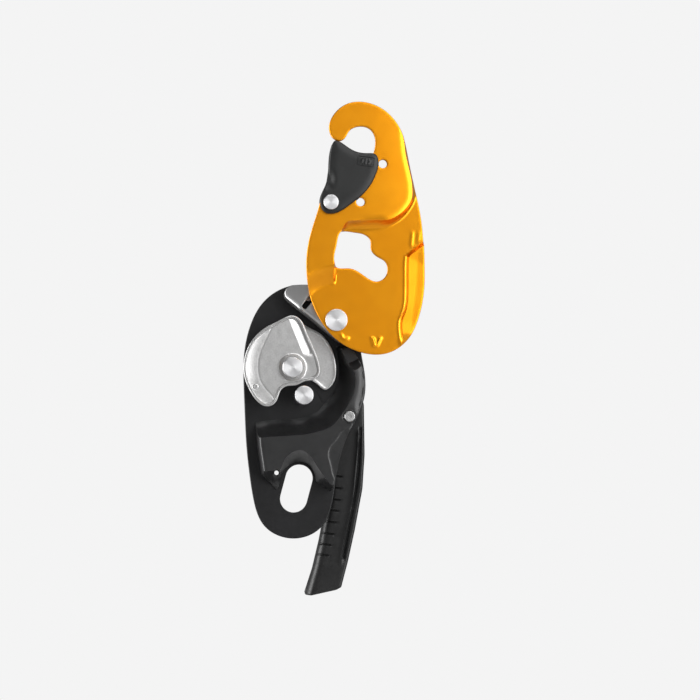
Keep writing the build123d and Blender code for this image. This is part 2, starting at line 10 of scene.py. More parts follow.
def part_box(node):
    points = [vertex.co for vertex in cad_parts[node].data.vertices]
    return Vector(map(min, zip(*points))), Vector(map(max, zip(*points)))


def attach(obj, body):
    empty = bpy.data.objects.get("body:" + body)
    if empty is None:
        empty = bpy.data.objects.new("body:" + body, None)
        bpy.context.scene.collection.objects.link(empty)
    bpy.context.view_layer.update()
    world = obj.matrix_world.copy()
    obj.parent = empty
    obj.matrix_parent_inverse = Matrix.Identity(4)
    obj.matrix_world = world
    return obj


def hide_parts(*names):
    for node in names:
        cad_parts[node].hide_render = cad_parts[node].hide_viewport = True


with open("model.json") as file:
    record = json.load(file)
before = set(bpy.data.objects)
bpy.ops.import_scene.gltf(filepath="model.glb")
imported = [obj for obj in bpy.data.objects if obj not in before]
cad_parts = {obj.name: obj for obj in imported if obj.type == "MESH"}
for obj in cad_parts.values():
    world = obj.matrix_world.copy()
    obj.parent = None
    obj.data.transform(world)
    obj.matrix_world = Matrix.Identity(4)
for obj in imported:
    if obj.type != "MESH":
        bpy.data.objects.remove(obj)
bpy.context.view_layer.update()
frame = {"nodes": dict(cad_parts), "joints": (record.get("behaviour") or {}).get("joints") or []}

# Lengths are millimetres until a mesh is made. +X is right and +Z up; a height is measured forward
# from the fixed side plate's front face, so height h lies at y = -h.
MM = 0.001
NODES = frame["nodes"]
JOINT = {j["name"]: j for j in frame["joints"]}


def joint_at(name):
    """(x, z) of a joint's axis in millimetres."""
    x, _, z = JOINT[name]["pos_m"]
    return np.array((x / MM, z / MM))


def node_middle(name):
    """(x, z) of the middle of a CAD node in millimetres."""
    low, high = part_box(name)
    return np.array(((low.x + high.x) / 2 / MM, (low.z + high.z) / 2 / MM))


def heights(name):
    """Back and front height of a CAD node in millimetres."""
    low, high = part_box(name)
    return -high.y / MM, -low.y / MM


PLATE_AXIS = joint_at("side_plate_swing")
CAM_AXIS = joint_at("cam_pivot")
GATE_AXIS = joint_at("gate_swing")


# ---- outlines

def closed_curve(points, step):
    """A closed smooth curve through the points, as points about one step apart."""
    p = np.array(points, float)
    n = len(p)
    run = np.linalg.norm(np.roll(p, -1, 0) - p, axis=1)
    matrix, right = np.zeros((n, n)), np.zeros((n, 2))
    for i in range(n):
        j = (i + 1) % n
        matrix[i, i - 1] += run[i - 1]
        matrix[i, i] += 2 * (run[i - 1] + run[i])
        matrix[i, j] += run[i]
        right[i] = 6 * ((p[j] - p[i]) / run[i] - (p[i] - p[i - 1]) / run[i - 1])
    bend = np.linalg.solve(matrix, right)
    out = []
    for i in range(n):
        j, h = (i + 1) % n, run[i]
        for s in np.linspace(0, h, max(2, ceil(h / step)), endpoint=False):
            r = h - s
            out.append((bend[i] * r**3 + bend[j] * s**3) / (6 * h)
                       + (p[i] / h - bend[i] * h / 6) * r + (p[j] / h - bend[j] * h / 6) * s)
    return np.array(out)


def smooth_open(points, step=0.7):
    """An open smooth curve through the points, as points about one step apart."""
    p = np.array(points, float)
    before, after = 2 * p[0] - p[1], 2 * p[-1] - p[-2]
    p = np.vstack((before, p, after))
    out = []
    for i in range(1, len(p) - 2):
        a, b, c, d = p[i - 1], p[i], p[i + 1], p[i + 2]
        k = max(1, ceil(np.linalg.norm(c - b) / step))
        for s in np.arange(k) / k:
            out.append(0.5 * (2 * b + (c - a) * s + (2 * a - 5 * b + 4 * c - d) * s * s
                              + (3 * b - a - 3 * c + d) * s**3))
    return np.array(out + [p[-2]])


def polyline(points, step, closed=True):
    """Straight runs between the points, divided evenly."""
    p = [np.array(q, float) for q in points]
    ends = p[1:] + [p[0]] if closed else p[1:]
    out = []
    for a, b in zip(p, ends):
        k = max(1, ceil(np.linalg.norm(b - a) / step))
        out += [a + (b - a) * i / k for i in range(k)]
    return np.array(out if closed else out + [p[-1]])


def rounded(points, radius, step=0.4):
    """A closed outline of straight runs whose corners are arcs; radius is one number or one each."""
    p = [np.array(q, float) for q in points]
    radii = np.broadcast_to(radius, len(p))
    corners = []
    for i, at in enumerate(p):
        a, b = p[i - 1] - at, p[(i + 1) % len(p)] - at
        la, lb = np.linalg.norm(a), np.linalg.norm(b)
        a, b = a / la, b / lb
        half = np.arccos(np.clip(a @ b, -1, 1)) / 2
        r = min(radii[i], 0.48 * min(la, lb) * tan(half))
        cut = r / tan(half)
        start, end = at + a * cut, at + b * cut
        middle = (a + b) / max(np.linalg.norm(a + b), 1e-9)
        centre = at + middle * (r / sin(half))
        k = max(2, ceil((pi - 2 * half) * r / step) + 1)
        for t in np.linspace(0, 1, k):
            q = start * (1 - t) + end * t - centre
            corners.append(centre + q / max(np.linalg.norm(q), 1e-9) * r)
    return polyline(corners, step)


def round_points(at, r, angles):
    """Points of a circle at the given angles in radians."""
    return [(at[0] + r * cos(a), at[1] + r * sin(a)) for a in angles]


def circle(at, r, step=0.4):
    k = max(20, ceil(2 * pi * r / step))
    return np.array(round_points(at, r, np.linspace(0, 2 * pi, k, endpoint=False)))


def arc(at, r, start, end, step):
    """Points of an arc between two angles in degrees."""
    k = max(2, ceil(abs(radians(end - start)) * r / step))
    return round_points(at, r, [radians(a) for a in np.linspace(start, end, k + 1)])


def slot(at, half_span, r, angle):
    """A round-ended slot; angle is its long axis from +X."""
    u = np.array((cos(radians(angle)), sin(radians(angle)))) * half_span
    right_end = arc(at + u, r, angle - 90, angle + 90, 0.4)
    left_end = arc(at - u, r, angle + 90, angle + 270, 0.4)
    return polyline(right_end + left_end, 0.5)


def turned(loop, anticlockwise):
    """The loop with its points in anticlockwise or in clockwise order."""
    x, z = loop.T
    area = (x * np.roll(z, -1) - np.roll(x, -1) * z).sum()
    return loop if (area > 0) == anticlockwise else loop[::-1]


def pushed(loop, distance):
    """Each point moved to the left of the direction in which the loop runs."""
    along = np.roll(loop, -1, 0) - np.roll(loop, 1, 0)
    along /= np.maximum(np.linalg.norm(along, axis=1), 1e-9)[:, None]
    left = np.stack((-along[:, 1], along[:, 0]), 1)
    return loop + left * np.broadcast_to(distance, (len(loop),))[:, None]


def beside(line, distances):
    """Copies of a line at several distances to its left."""
    return [pushed(line, d) for d in distances]


def within(loop, q):
    """Which of the points q lie inside the loop."""
    x, z = q.T
    result = np.zeros(len(q), bool)
    for (ax, az), (bx, bz) in zip(loop, np.roll(loop, -1, 0)):
        cross = (az > z) != (bz > z)
        if cross.any():
            at = ax + (z - az) * (bx - ax) / (bz - az if bz != az else 1e-12)
            result ^= cross & (x < at)
    return result


def away(line, q, closed=True):
    """Distance from each point of q to a line of points."""
    starts = line if closed else line[:-1]
    ends = np.roll(line, -1, 0) if closed else line[1:]
    best = np.full(len(q), 1e9)
    for a, b in zip(starts, ends):
        ab = b - a
        t = np.clip(((q - a) @ ab) / max(ab @ ab, 1e-12), 0, 1)
        best = np.minimum(best, np.hypot(*(q - a - t[:, None] * ab).T))
    return best


def depth(loop, q):
    """Distance into the loop, negative outside it."""
    d = away(loop, q)
    return np.where(within(loop, q), d, -d)


def from_point(q, at):
    """Distance from each point of q to one point."""
    return np.hypot(*(q - at).T)


def share_between(q, foot, edge):
    """How far each point is from the foot loop (0) to the edge loop (1)."""
    s_foot, s_edge = depth(foot, q), depth(edge, q)
    return ramp(s_foot / np.maximum(s_foot - s_edge, 1e-6))


def ramp(t):
    """Rises evenly from 0 to 1."""
    return np.clip(t, 0, 1)


def ease(t):
    """Rises softly from 0 to 1."""
    t = ramp(t)
    return t * t * (3 - 2 * t)


def bump(distance, width, power=2):
    """1 on a line and 0 away from it; a higher power makes the top flatter and the sides steeper."""
    return np.exp(-((distance / width) ** power))


def soft_min(a, b, r):
    """The lower of two heights, rounded where they cross."""
    k = np.clip(0.5 + 0.5 * (b - a) / r, 0, 1)
    return b * (1 - k) + a * k - r * k * (1 - k)


# ---- meshes

LIP_ROWS = 5
# Rows of equilateral triangles are this share of their spacing apart.
ROW_SHARE = 0.866
# Points in rows keep this share of their spacing away from edges and lines, and points on lines
# keep this gap from edges.
GAP_SHARE, LINE_GAP = 0.45, 0.12


def edge_rows(loop, lip, lip_back):
    """Rows of points from a loop inwards that round its edges, with how far each point lies below
    the front and above the back."""
    turns = [row / LIP_ROWS * pi / 2 for row in range(LIP_ROWS + 1)]
    points = [pushed(loop, lip * (1 - cos(phi))) for phi in turns]
    drops = [lip * (1 - sin(phi)) for phi in turns]
    lifts = [lip_back * (1 - sin(phi)) for phi in turns]
    return np.concatenate(points), np.concatenate(drops), np.concatenate(lifts)


def in_sheet(loops, q):
    """Which points lie inside the first loop and outside the others."""
    keep = within(loops[0], q)
    for hole in loops[1:]:
        keep &= ~within(hole, q)
    return keep


def clear_of_edges(loops, q, gap):
    """The points inside the sheet and farther than the gap from its edges."""
    q = q[in_sheet(loops, q)]
    for loop in loops:
        q = q[away(loop, q) > gap]
    return q


def staggered(low, high, spacing):
    """Points in staggered rows over a box."""
    points = []
    for row, z in enumerate(np.arange(low[1], high[1], spacing * ROW_SHARE)):
        shift = spacing / 2 * (row % 2)
        points += [(x + shift, z) for x in np.arange(low[0], high[0], spacing)]
    return np.array(points)


def patch(centre, radius, spacing):
    """Points in a square grid over a disc."""
    side = np.arange(-radius, radius, spacing)
    return np.array([(centre[0] + x, centre[1] + z) for x in side for z in side if hypot(x, z) < radius])


def inner_points(loops, clear, low, high, spacing, lines, fine):
    """The sheet's points away from its edges: along the lines, in the fine discs and between."""
    inner = staggered(low, high, spacing)
    extra = [clear_of_edges(loops, np.array(line), clear + LINE_GAP) for line in lines]
    for centre, radius, gap in fine:
        extra.append(clear_of_edges(loops, patch(centre, radius, gap), clear + LINE_GAP))
        inner = inner[from_point(inner, centre) > radius]
    inner = clear_of_edges(loops, inner, clear + spacing * GAP_SHARE)
    if extra:
        extra = np.vstack(extra)
        keep = np.ones(len(inner), bool)
        for q in extra:
            keep &= from_point(inner, q) > spacing * GAP_SHARE
        inner = np.vstack((extra, inner[keep]))
    return inner


def relief(outer, holes, front, back, lip, lip_back, spacing, lines=(), fine=()):
    """Vertices and faces of a closed sheet: front and back give its heights at points (x, z). Its
    edges are rounded by lip in front and lip_back behind. Points also lie along the given lines, so
    that steps stay crisp, and closer together in the fine discs, each (centre, radius, spacing)."""
    loops = [turned(np.array(outer), True)] + [turned(np.array(h), False) for h in holes]
    rims, edges, starts, count = [], [], [], 0
    for loop in loops:
        n = len(loop)
        lips = lip(loop) if callable(lip) else np.full(n, float(lip))
        back_lips = np.minimum(lips, lip_back) if callable(lip) else np.full(n, lip_back)
        rims.append(edge_rows(loop, lips, back_lips))
        starts.append(count)
        for _ in range(LIP_ROWS + 1):
            edges += [(count + i, count + (i + 1) % n) for i in range(n)]
            count += n
    fixed, drops, lifts = (np.concatenate(parts) for parts in zip(*rims))
    clear = max(float(np.max(lip(loops[0]))) if callable(lip) else lip, 0.2)
    inner = inner_points(loops, clear, fixed.min(0), fixed.max(0), spacing, lines, fine)

    every = [Vector(p) for p in np.vstack((fixed, inner))]
    made, _, faces, origin, _, _ = delaunay_2d_cdt(every, edges, [], 0, 1e-6)
    made = np.array([tuple(v) for v in made])
    source = [o[0] if o else -1 for o in origin]
    level = np.zeros(len(inner) + 1)
    drop, lift = np.append(drops, level)[source], np.append(lifts, level)[source]
    tri = np.array([f for f in faces if len(f) == 3])
    tri = tri[in_sheet(loops, made[tri].mean(1))]
    a, b, c = (made[tri[:, k]] for k in range(3))
    (bx, bz), (cx, cz) = (b - a).T, (c - a).T
    turn = bx * cz - bz * cx
    tri = np.where((turn > 0)[:, None], tri, tri[:, ::-1])

    n = len(made)
    surfaces = front(made) - drop, back(made) + lift
    vertices = [(x, -h, z) for surface in surfaces for (x, z), h in zip(made, surface)]
    faces = [tuple(t) for t in tri] + [tuple(t[::-1] + n) for t in tri]
    place_of = {s: i for i, s in enumerate(source) if s >= 0}
    for start, loop in zip(starts, loops):
        for i in range(len(loop)):
            p, q = place_of.get(start + i), place_of.get(start + (i + 1) % len(loop))
            if p is not None and q is not None and p != q:
                faces.append((q, p, p + n, q + n))
    return vertices, faces


def flat(height):
    """A surface at one height."""
    return lambda q: np.full(len(q), float(height))


def block(loop, low, high):
    """A closed block of one outline between two heights."""
    loop = turned(loop, True)
    n = len(loop)
    vertices = [(x, -h, z) for h in (low, high) for x, z in loop]
    faces = [(k, (k + 1) % n, (k + 1) % n + n, k + n) for k in range(n)]
    return vertices, faces + [tuple(range(n - 1, -1, -1)), tuple(range(n, 2 * n))]


def shade_smooth(mesh, crisp):
    """Smooth shading, with the edges that turn by more than crisp degrees left sharp."""
    mesh.polygons.foreach_set("use_smooth", [True] * len(mesh.polygons))
    mesh.set_sharp_from_angle(angle=radians(crisp))


def new_object(name, data):
    """A new object in the scene."""
    made = bpy.data.objects.new(name, data)
    bpy.context.scene.collection.objects.link(made)
    return made


def piece(name, shells, body, slot_name, replaced, *materials, crisp):
    """One object from closed shells, riding on a body in place of CAD nodes. With several materials
    there is one for each shell."""
    vertices, faces, shell_of = [], [], []
    for k, (v, f) in enumerate(shells):
        offset = len(vertices)
        vertices += [(x * MM, y * MM, z * MM) for x, y, z in v]
        faces += [tuple(int(i) + offset for i in face) for face in f]
        shell_of += [k if len(materials) > 1 else 0] * len(f)
    mesh = bpy.data.meshes.new(name)
    mesh.from_pydata(vertices, [], faces)
    mesh.polygons.foreach_set("material_index", shell_of)
    mesh.validate()
    shade_smooth(mesh, crisp)
    mesh.update()
    made = new_object(name, mesh)
    for material in materials:
        mesh.materials.append(material)
    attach(made, body)
    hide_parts(*replaced)


# ---- materials

SOCKETS = {"specular": "Specular IOR Level", "coat": "Coat Weight", "coat_roughness": "Coat Roughness"}
RING_PITCH, RING_HEIGHT = 0.4, 0.002


def add_node(tree, kind, links=(), **settings):
    """A node with values for its inputs or properties and with links into its inputs."""
    made = tree.nodes.new(kind)
    for key, value in settings.items():
        if key in made.inputs.keys():
            made.inputs[key].default_value = value
        else:
            setattr(made, key, value)
    for key, output in dict(links).items():
        tree.links.new(output, made.inputs[key])
    return made


def map_range(tree, value, start, end, low, high, **settings):
    """A value stretched from start..end to low..high."""
    ends = {"From Min": start, "From Max": end, "To Min": low, "To Max": high}
    return add_node(tree, "ShaderNodeMapRange", {"Value": value}, **ends, **settings).outputs["Result"]


class Finish:
    """A material being put together: settings go on the shader's sockets, and detail comes from nodes."""

    def __init__(self, name, colour, **settings):
        self.material = bpy.data.materials.new(name)
        self.material.use_nodes = True
        self.tree = self.material.node_tree
        self.shader = self.tree.nodes["Principled BSDF"]
        self.shader.inputs["Base Color"].default_value = (*colour, 1)
        for key, value in settings.items():
            self.shader.inputs[SOCKETS.get(key, key.title())].default_value = value
        self.place = add_node(self.tree, "ShaderNodeTexCoord").outputs["Object"]

    def drive(self, socket, output):
        self.tree.links.new(output, self.shader.inputs[socket])
        return self

    def noise(self, size_mm, detail, stretch=(1, 1, 1)):
        """Noise whose grains are about size_mm across; stretch makes them longer along an axis."""
        scaled = add_node(self.tree, "ShaderNodeMapping", {"Vector": self.place},
                          Scale=tuple(1 / s for s in stretch))
        made = add_node(self.tree, "ShaderNodeTexNoise", {"Vector": scaled.outputs[0]},
                        Scale=1 / (size_mm * MM), Detail=detail, Roughness=0.6)
        return made.outputs["Fac"]

    def blotch(self, value, first, second, start=0.35, end=0.65):
        """Base colour that wanders between two colours."""
        share = map_range(self.tree, value, start, end, 0, 1)
        mix = add_node(self.tree, "ShaderNodeMix", {"Factor": share}, data_type="RGBA")
        mix.inputs[6].default_value = (*first, 1)
        mix.inputs[7].default_value = (*second, 1)
        return self.drive("Base Color", mix.outputs[2])

    def worn(self, low, high, value):
        """Roughness that wanders between two values."""
        return self.drive("Roughness", map_range(self.tree, value, 0.35, 0.65, low, high))

    def grain(self, *heights_and_noise):
        """Bump from noise: pairs of (height in mm, noise)."""
        normal = {}
        for height, value in heights_and_noise:
            made = add_node(self.tree, "ShaderNodeBump", {"Height": value, **normal},
                            Strength=1.0, Distance=height * MM)
            normal = {"Normal": made.outputs["Normal"]}
        return self.drive("Normal", normal["Normal"])

    def vector(self, operation, value, other=(0, 0, 0)):
        """The outputs of one step of vector arithmetic."""
        made = add_node(self.tree, "ShaderNodeVectorMath", {0: value}, operation=operation)
        made.inputs[1].default_value = other
        return made.outputs

    def turned_about(self, axis_at):
        """Turning marks: rings of fine bump and a highlight that fans out from the axis."""
        centre = (axis_at[0] * MM, 0, axis_at[1] * MM)
        across = self.vector("MULTIPLY", self.vector("SUBTRACT", self.place, centre)[0], (1, 0, 1))[0]
        self.drive("Tangent", self.vector("NORMALIZE", across)[0])
        rings = add_node(self.tree, "ShaderNodeTexNoise", {"W": self.vector("LENGTH", across)["Value"]},
                         noise_dimensions="1D", Scale=1 / (RING_PITCH * MM), Detail=2.0)
        return self.grain((RING_HEIGHT, rings.outputs["Fac"]))


def gold_anodised():
    made = Finish("gold_anodised", (0.90, 0.345, 0.005), metallic=1.0, roughness=0.34,
                  coat=0.28, coat_roughness=0.2)
    made.blotch(made.noise(24, 2), (0.885, 0.325, 0.004), (0.91, 0.350, 0.006))
    made.worn(0.33, 0.35, made.noise(6.0, 2))
    return made.grain((0.001, made.noise(0.3, 2))).material


def black_anodised():
    made = Finish("black_anodised", (0.014, 0.014, 0.016), roughness=0.4, specular=0.32)
    made.blotch(made.noise(12, 3), (0.005, 0.005, 0.0055), (0.008, 0.008, 0.009))
    made.worn(0.36, 0.48, made.noise(2.0, 4))
    return made.grain((0.006, made.noise(0.3, 4))).material


def moulded_nylon(name, dark, light, rough_low, rough_high, texture_mm, specular=0.4):
    made = Finish(name, light, roughness=rough_low, specular=specular)
    made.blotch(made.noise(9, 4), dark, light)
    made.worn(rough_low, rough_high, made.noise(1.5, 4))
    return made.grain((texture_mm, made.noise(0.28, 3)), (0.02, made.noise(5, 2))).material


def cast_steel():
    made = Finish("cast_steel", (0.55, 0.54, 0.53), metallic=1.0, roughness=0.36)
    made.blotch(made.noise(0.9, 5), (0.50, 0.498, 0.495), (0.62, 0.618, 0.615), 0.3, 0.7)
    made.worn(0.35, 0.42, made.noise(2.5, 4))
    return made.grain((0.012, made.noise(0.5, 4)), (0.02, made.noise(2.5, 2))).material


def bracket_steel():
    made = Finish("bracket_steel", (0.50, 0.50, 0.50), metallic=1.0, roughness=0.34)
    made.blotch(made.noise(4, 3, (1, 1, 5)), (0.42, 0.42, 0.42), (0.46, 0.46, 0.46), 0.3, 0.7)
    made.worn(0.33, 0.39, made.noise(0.5, 3, (1, 1, 8)))
    return made.grain((0.003, made.noise(0.25, 3, (1, 1, 10)))).material


def turned_steel(name, axis_at):
    made = Finish(name, (0.74, 0.74, 0.75), metallic=1.0, roughness=0.44, anisotropic=0.85)
    made.worn(0.42, 0.46, made.noise(0.8, 3))
    return made.turned_about(axis_at).material


def plain_metal(name, colour, rough):
    made = Finish(name, colour, metallic=1.0, roughness=rough)
    made.worn(rough - 0.05, rough + 0.06, made.noise(1.2, 4))
    return made.grain((0.004, made.noise(0.3, 4))).material


GOLD = gold_anodised()
BLACK = black_anodised()
GUIDE = moulded_nylon("guide_nylon", (0.009, 0.009, 0.0095), (0.013, 0.013, 0.0135), 0.31, 0.37, 0.006, 0.55)
GATE = moulded_nylon("gate_nylon", (0.008, 0.0085, 0.0085), (0.012, 0.0125, 0.0125), 0.40, 0.47, 0.006)
GRIP = moulded_nylon("handle_nylon", (0.005, 0.005, 0.0052), (0.009, 0.009, 0.0092), 0.32, 0.40, 0.008)
WASHER = moulded_nylon("washer_nylon", (0.45, 0.44, 0.41), (0.55, 0.54, 0.50), 0.42, 0.52, 0.008)
CAST = cast_steel()
BRACKET = bracket_steel()
SPRING = plain_metal("spring_steel", (0.36, 0.36, 0.38), 0.3)
BRONZE = plain_metal("bronze", (0.52, 0.33, 0.14), 0.38)
FITTING = plain_metal("fitting_steel", (0.62, 0.62, 0.62), 0.30)
# Near-black steel for the bracket's base shell: painted shade, so that the inside seen through the vent reads
# dark.
VENT_SHADE_STEEL = plain_metal("painted_shade_steel", (0.035, 0.035, 0.037), 0.45)
CARRIED_OVER = dict.fromkeys(
    ("rope_guide_screw", "guide_rear_screws", "friction_plate_rivets", "pivot_spacer", "handle_stop_pin",
     "cam_pin", "handle_drive_insert", "axle_washer", "axle_nut"), FITTING)
CARRIED_OVER |= {
    "fixed_side_plate": BLACK, "cam_wear_plate": BLACK, "pivot_washer": WASHER,
    "axle_bush": BRONZE, "cam_bush": BRONZE, "cam_spring": SPRING, "gate_spring": SPRING,
    "pivot_pin": turned_steel("turned_pivot", PLATE_AXIS),
    "guide_pin": turned_steel("turned_guide_pin", node_middle("guide_pin")),
    "cam_axle": turned_steel("turned_axle", CAM_AXIS),
    "gate_rivet": turned_steel("turned_gate_rivet", GATE_AXIS),
}


def carry_over(node, material):
    """A CAD node that keeps its own shape, with its material and smooth shading."""
    mesh = NODES[node].data
    mesh.materials.clear()
    mesh.materials.append(material)
    shade_smooth(mesh, 30)


# ---- moving side plate

MOVING_OUTLINE = [
    (34.8, 210.3), (26.3, 209.2), (19.8, 204.4), (16.5, 197.6), (17.0, 192.6), (19.0, 189.8), (22.1, 188.7),
    (24.9, 190.2), (27.4, 194.2), (33.7, 196.8), (39.0, 195.0), (41.6, 189.5), (40.6, 182.2), (37.6, 174.0),
    (32.0, 166.4), (24.6, 161.6), (17.3, 160.4), (12.9, 158.4), (11.2, 154.2), (8.6, 145.4), (5.6, 135.0),
    (4.1, 123.8), (5.2, 109.5), (10.4, 94.4), (20.4, 81.2), (34.3, 73.9), (48.9, 73.6), (59.4, 80.6),
    (65.4, 92.4), (68.2, 105.0), (68.7, 125.0), (66.6, 150.0), (61.6, 172.0), (58.4, 187.4), (55.4, 195.6),
    (47.4, 205.3),
]
WINDOW_OUTLINE = [
    (23.2, 139.4), (30.3, 139.4), (36.0, 138.2), (39.4, 134.8), (39.6, 130.6), (43.0, 126.2), (47.4, 123.4),
    (48.7, 119.0), (46.9, 114.6), (42.6, 112.6), (38.2, 114.2), (33.4, 117.5), (28.0, 119.7), (20.4, 120.7),
    (19.2, 124.0), (20.4, 131.4),
]
# The hook and the arm stand forward of the rest; the sheet steps down from the edge to the foot.
STEP_EDGE = [
    (19.3, 100.0), (19.3, 121.0), (21.0, 131.0), (23.2, 139.4), (26.3, 144.6), (32.7, 145.5), (42.1, 146.2),
    (48.4, 145.9), (54.7, 149.0), (59.2, 153.5), (61.6, 158.5), (61.6, 165.3), (60.6, 171.0), (58.3, 181.1),
    (57.4, 188.4), (57.0, 194.0),
]
STEP_FOOT = [
    (20.6, 100.0), (20.6, 121.0), (22.2, 131.0), (24.9, 139.9), (38.1, 139.4), (45.7, 140.6), (52.0, 143.0),
    (57.8, 147.4), (62.1, 153.0), (64.4, 158.5), (64.6, 165.3), (63.6, 171.5), (61.6, 180.0), (61.2, 188.0),
    (61.5, 194.0),
]
STEP_BACK = [(75.0, 195.0), (75.0, 225.0), (-20.0, 225.0), (-20.0, 100.0)]
STEEP_FROM_X, STEP_POWER = 23.0, 2.1
# Left of the window the step is softer and follows arcs round the pivot.
ARM_EDGE_R, ARM_FOOT_R, ARM_RIGHT, ARM_TOP = 29.7, 19.2, 24.0, 124.0
SHEET_T = 2.5
# The hook stands forward by HOOK_RISE, rolls off near its edge and is slightly crowned to the right.
HOOK_RISE, ROLL_DROP, ROLL_W, ROLL_FROM_X = 5.5, 0.4, 3.0, 27.0
CROWN, CROWN_FROM_X, CROWN_FROM_Z = 0.0009, 30.0, 140.0
LOCKING_HOLE_AT, LIGHTENING_HOLE_AT, HOLE_R = (45.7, 176.4), (33.5, 155.5), 2.3
RIVET_BORE_R, PIVOT_BORE_R = 2.2, 3.56
# The flare rises from its base line in a steep wall and then falls away to the right.
FLARE_BASE = [
    (54.0, 76.0), (54.4, 82.4), (54.2, 90.9), (57.2, 101.6), (57.6, 124.0), (59.2, 128.2), (66.8, 134.2),
    (70.0, 136.5),
]
FLARE_CREASE = [(61.5, 78.0), (62.2, 92.0), (64.5, 112.2), (65.6, 128.2), (70.0, 134.0)]
FLARE_OUTSIDE = [(85.0, 137.0), (85.0, 78.0)]
FLARE_WALL_H, FLARE_WALL_W, FLARE_FALL, CREASE_RISE = 3.2, 2.4, 0.11, 0.05
FLARE_POWER, FLARE_FROM_Z, FLARE_FADE = 1.8, 76.0, 9.0
# Small upright folds above the flare: x, lowest and highest z, height.
FOLDS = [(61.6, 132.5, 139.5, 0.4), (65.4, 135.0, 139.5, 0.3)]
FOLD_LEAN, FOLD_W = 0.1, 0.55
CHEVRON_AT, CHEVRON_H, CHEVRON_HALF = (42.7, 79.6), 0.75, 3.4
CRESCENT_AT, CRESCENT_H, CRESCENT_R = (25.7, 83.2), 0.4, 2.0
EDGE_STEP = 0.6


def flare_region():
    """The flare's base line, closed well outside the plate."""
    return np.vstack((smooth_open(FLARE_BASE, EDGE_STEP), FLARE_OUTSIDE))


def step_lines():
    """The foot and the edge of the step."""
    return smooth_open(STEP_FOOT, EDGE_STEP), smooth_open(STEP_EDGE, EDGE_STEP)


def hook_step(q):
    """Height of the raised hook and arm over the rest of the plate."""
    foot, edge = (np.vstack((line, STEP_BACK)) for line in step_lines())
    t = share_between(q, foot, edge)
    roll = ROLL_DROP * ramp(1 - depth(edge, q) / ROLL_W) ** 2 * ease((q[:, 0] - ROLL_FROM_X) / 10)
    roll = roll + CROWN * np.maximum(q[:, 0] - CROWN_FROM_X, 0) ** 2 * ease((q[:, 1] - CROWN_FROM_Z) / 12)
    t_arm = ramp((from_point(q, PLATE_AXIS) - ARM_FOOT_R) / (ARM_EDGE_R - ARM_FOOT_R))
    t = t * np.where((q[:, 1] < ARM_TOP) & (q[:, 0] < ARM_RIGHT), t_arm, 1)
    wall = np.where(q[:, 0] > STEEP_FROM_X, t**STEP_POWER, 0.5 * t + 0.5 * ease(t))
    return (HOOK_RISE - roll) * wall


def flare(q):
    """Height of the flare at the right and of the folds above it."""
    inside = np.maximum(depth(flare_region(), q), 0)
    crease = np.vstack((smooth_open(FLARE_CREASE, 0.7), FLARE_OUTSIDE))
    beyond = np.maximum(depth(crease, q), 0)
    height = FLARE_WALL_H * ramp(inside / FLARE_WALL_W) ** FLARE_POWER
    height += CREASE_RISE * beyond - FLARE_FALL * np.maximum(inside - FLARE_WALL_W, 0)
    height *= ease((q[:, 1] - FLARE_FROM_Z) / FLARE_FADE)
    for x, low, high, fold_height in FOLDS:
        fold = bump(q[:, 0] - x - FOLD_LEAN * (q[:, 1] - low), FOLD_W)
        ends = ease((q[:, 1] - low + 1.5) / 2) * ease((high - q[:, 1] + 1.5) / 2)
        height = height + fold_height * fold * ends
    return height


def pressed_marks(q):
    """A chevron and a crescent pressed up from the sheet beside the pivot."""
    x, z = (q - CHEVRON_AT).T
    left, right = bump(x + 1.6 + 0.30 * z, 1.0), 0.8 * bump(x - 1.0 - 0.50 * z, 0.8)
    chevron = np.maximum(left, right) * ease((CHEVRON_HALF - np.abs(z)) / 1.8)
    x, z = (q - CRESCENT_AT).T
    open_side = ease((np.cos(np.arctan2(z, x) + 2.0) + 0.3) / 0.9)
    crescent = bump(np.hypot(x, z) - CRESCENT_R, 0.9) * open_side
    return CHEVRON_H * chevron + CRESCENT_H * crescent


def moving_front(q):
    """The moving plate's front surface."""
    return heights("moving_side_plate")[0] + SHEET_T + hook_step(q) + flare(q) + pressed_marks(q)


def moving_back(q):
    """Its back: the front's shape, a sheet's thickness behind."""
    return moving_front(q) - SHEET_T


def moving_side_plate():
    outer = closed_curve(MOVING_OUTLINE, 0.7)
    holes = [closed_curve(WINDOW_OUTLINE, 0.6), circle(LOCKING_HOLE_AT, HOLE_R),
             circle(LIGHTENING_HOLE_AT, HOLE_R), circle(GATE_AXIS, RIVET_BORE_R),
             circle(PLATE_AXIS, PIVOT_BORE_R)]
    foot, edge = step_lines()
    flare_loop = turned(polyline(flare_region(), EDGE_STEP), True)
    lines = [edge, foot, smooth_open(FLARE_CREASE, 0.7)]
    lines += beside(flare_loop, (0, 0.6, 1.2, 1.7, 2.1, FLARE_WALL_W, 2.8))
    lines += beside(edge, (-1.2, -0.6, 0.6, 1.2, 1.8, 2.4))
    lines += beside(foot, (-1.2, -0.6, 0.6, 1.2))
    for r in (ARM_FOOT_R, ARM_EDGE_R):
        lines.append(polyline(arc(PLATE_AXIS, r, 90, 170, 0.8), 0.8, closed=False))
    fine = [(CHEVRON_AT, 5.0, 0.4), (CRESCENT_AT, 4.0, 0.4)]
    shell = relief(outer, holes, moving_front, moving_back, 0.55, 0.45, 0.95, lines, fine)
    piece("moving_side_plate_formed", [shell], "moving_side", "gold_anodised",
          ["moving_side_plate"], GOLD, crisp=50)


# ---- rope guide

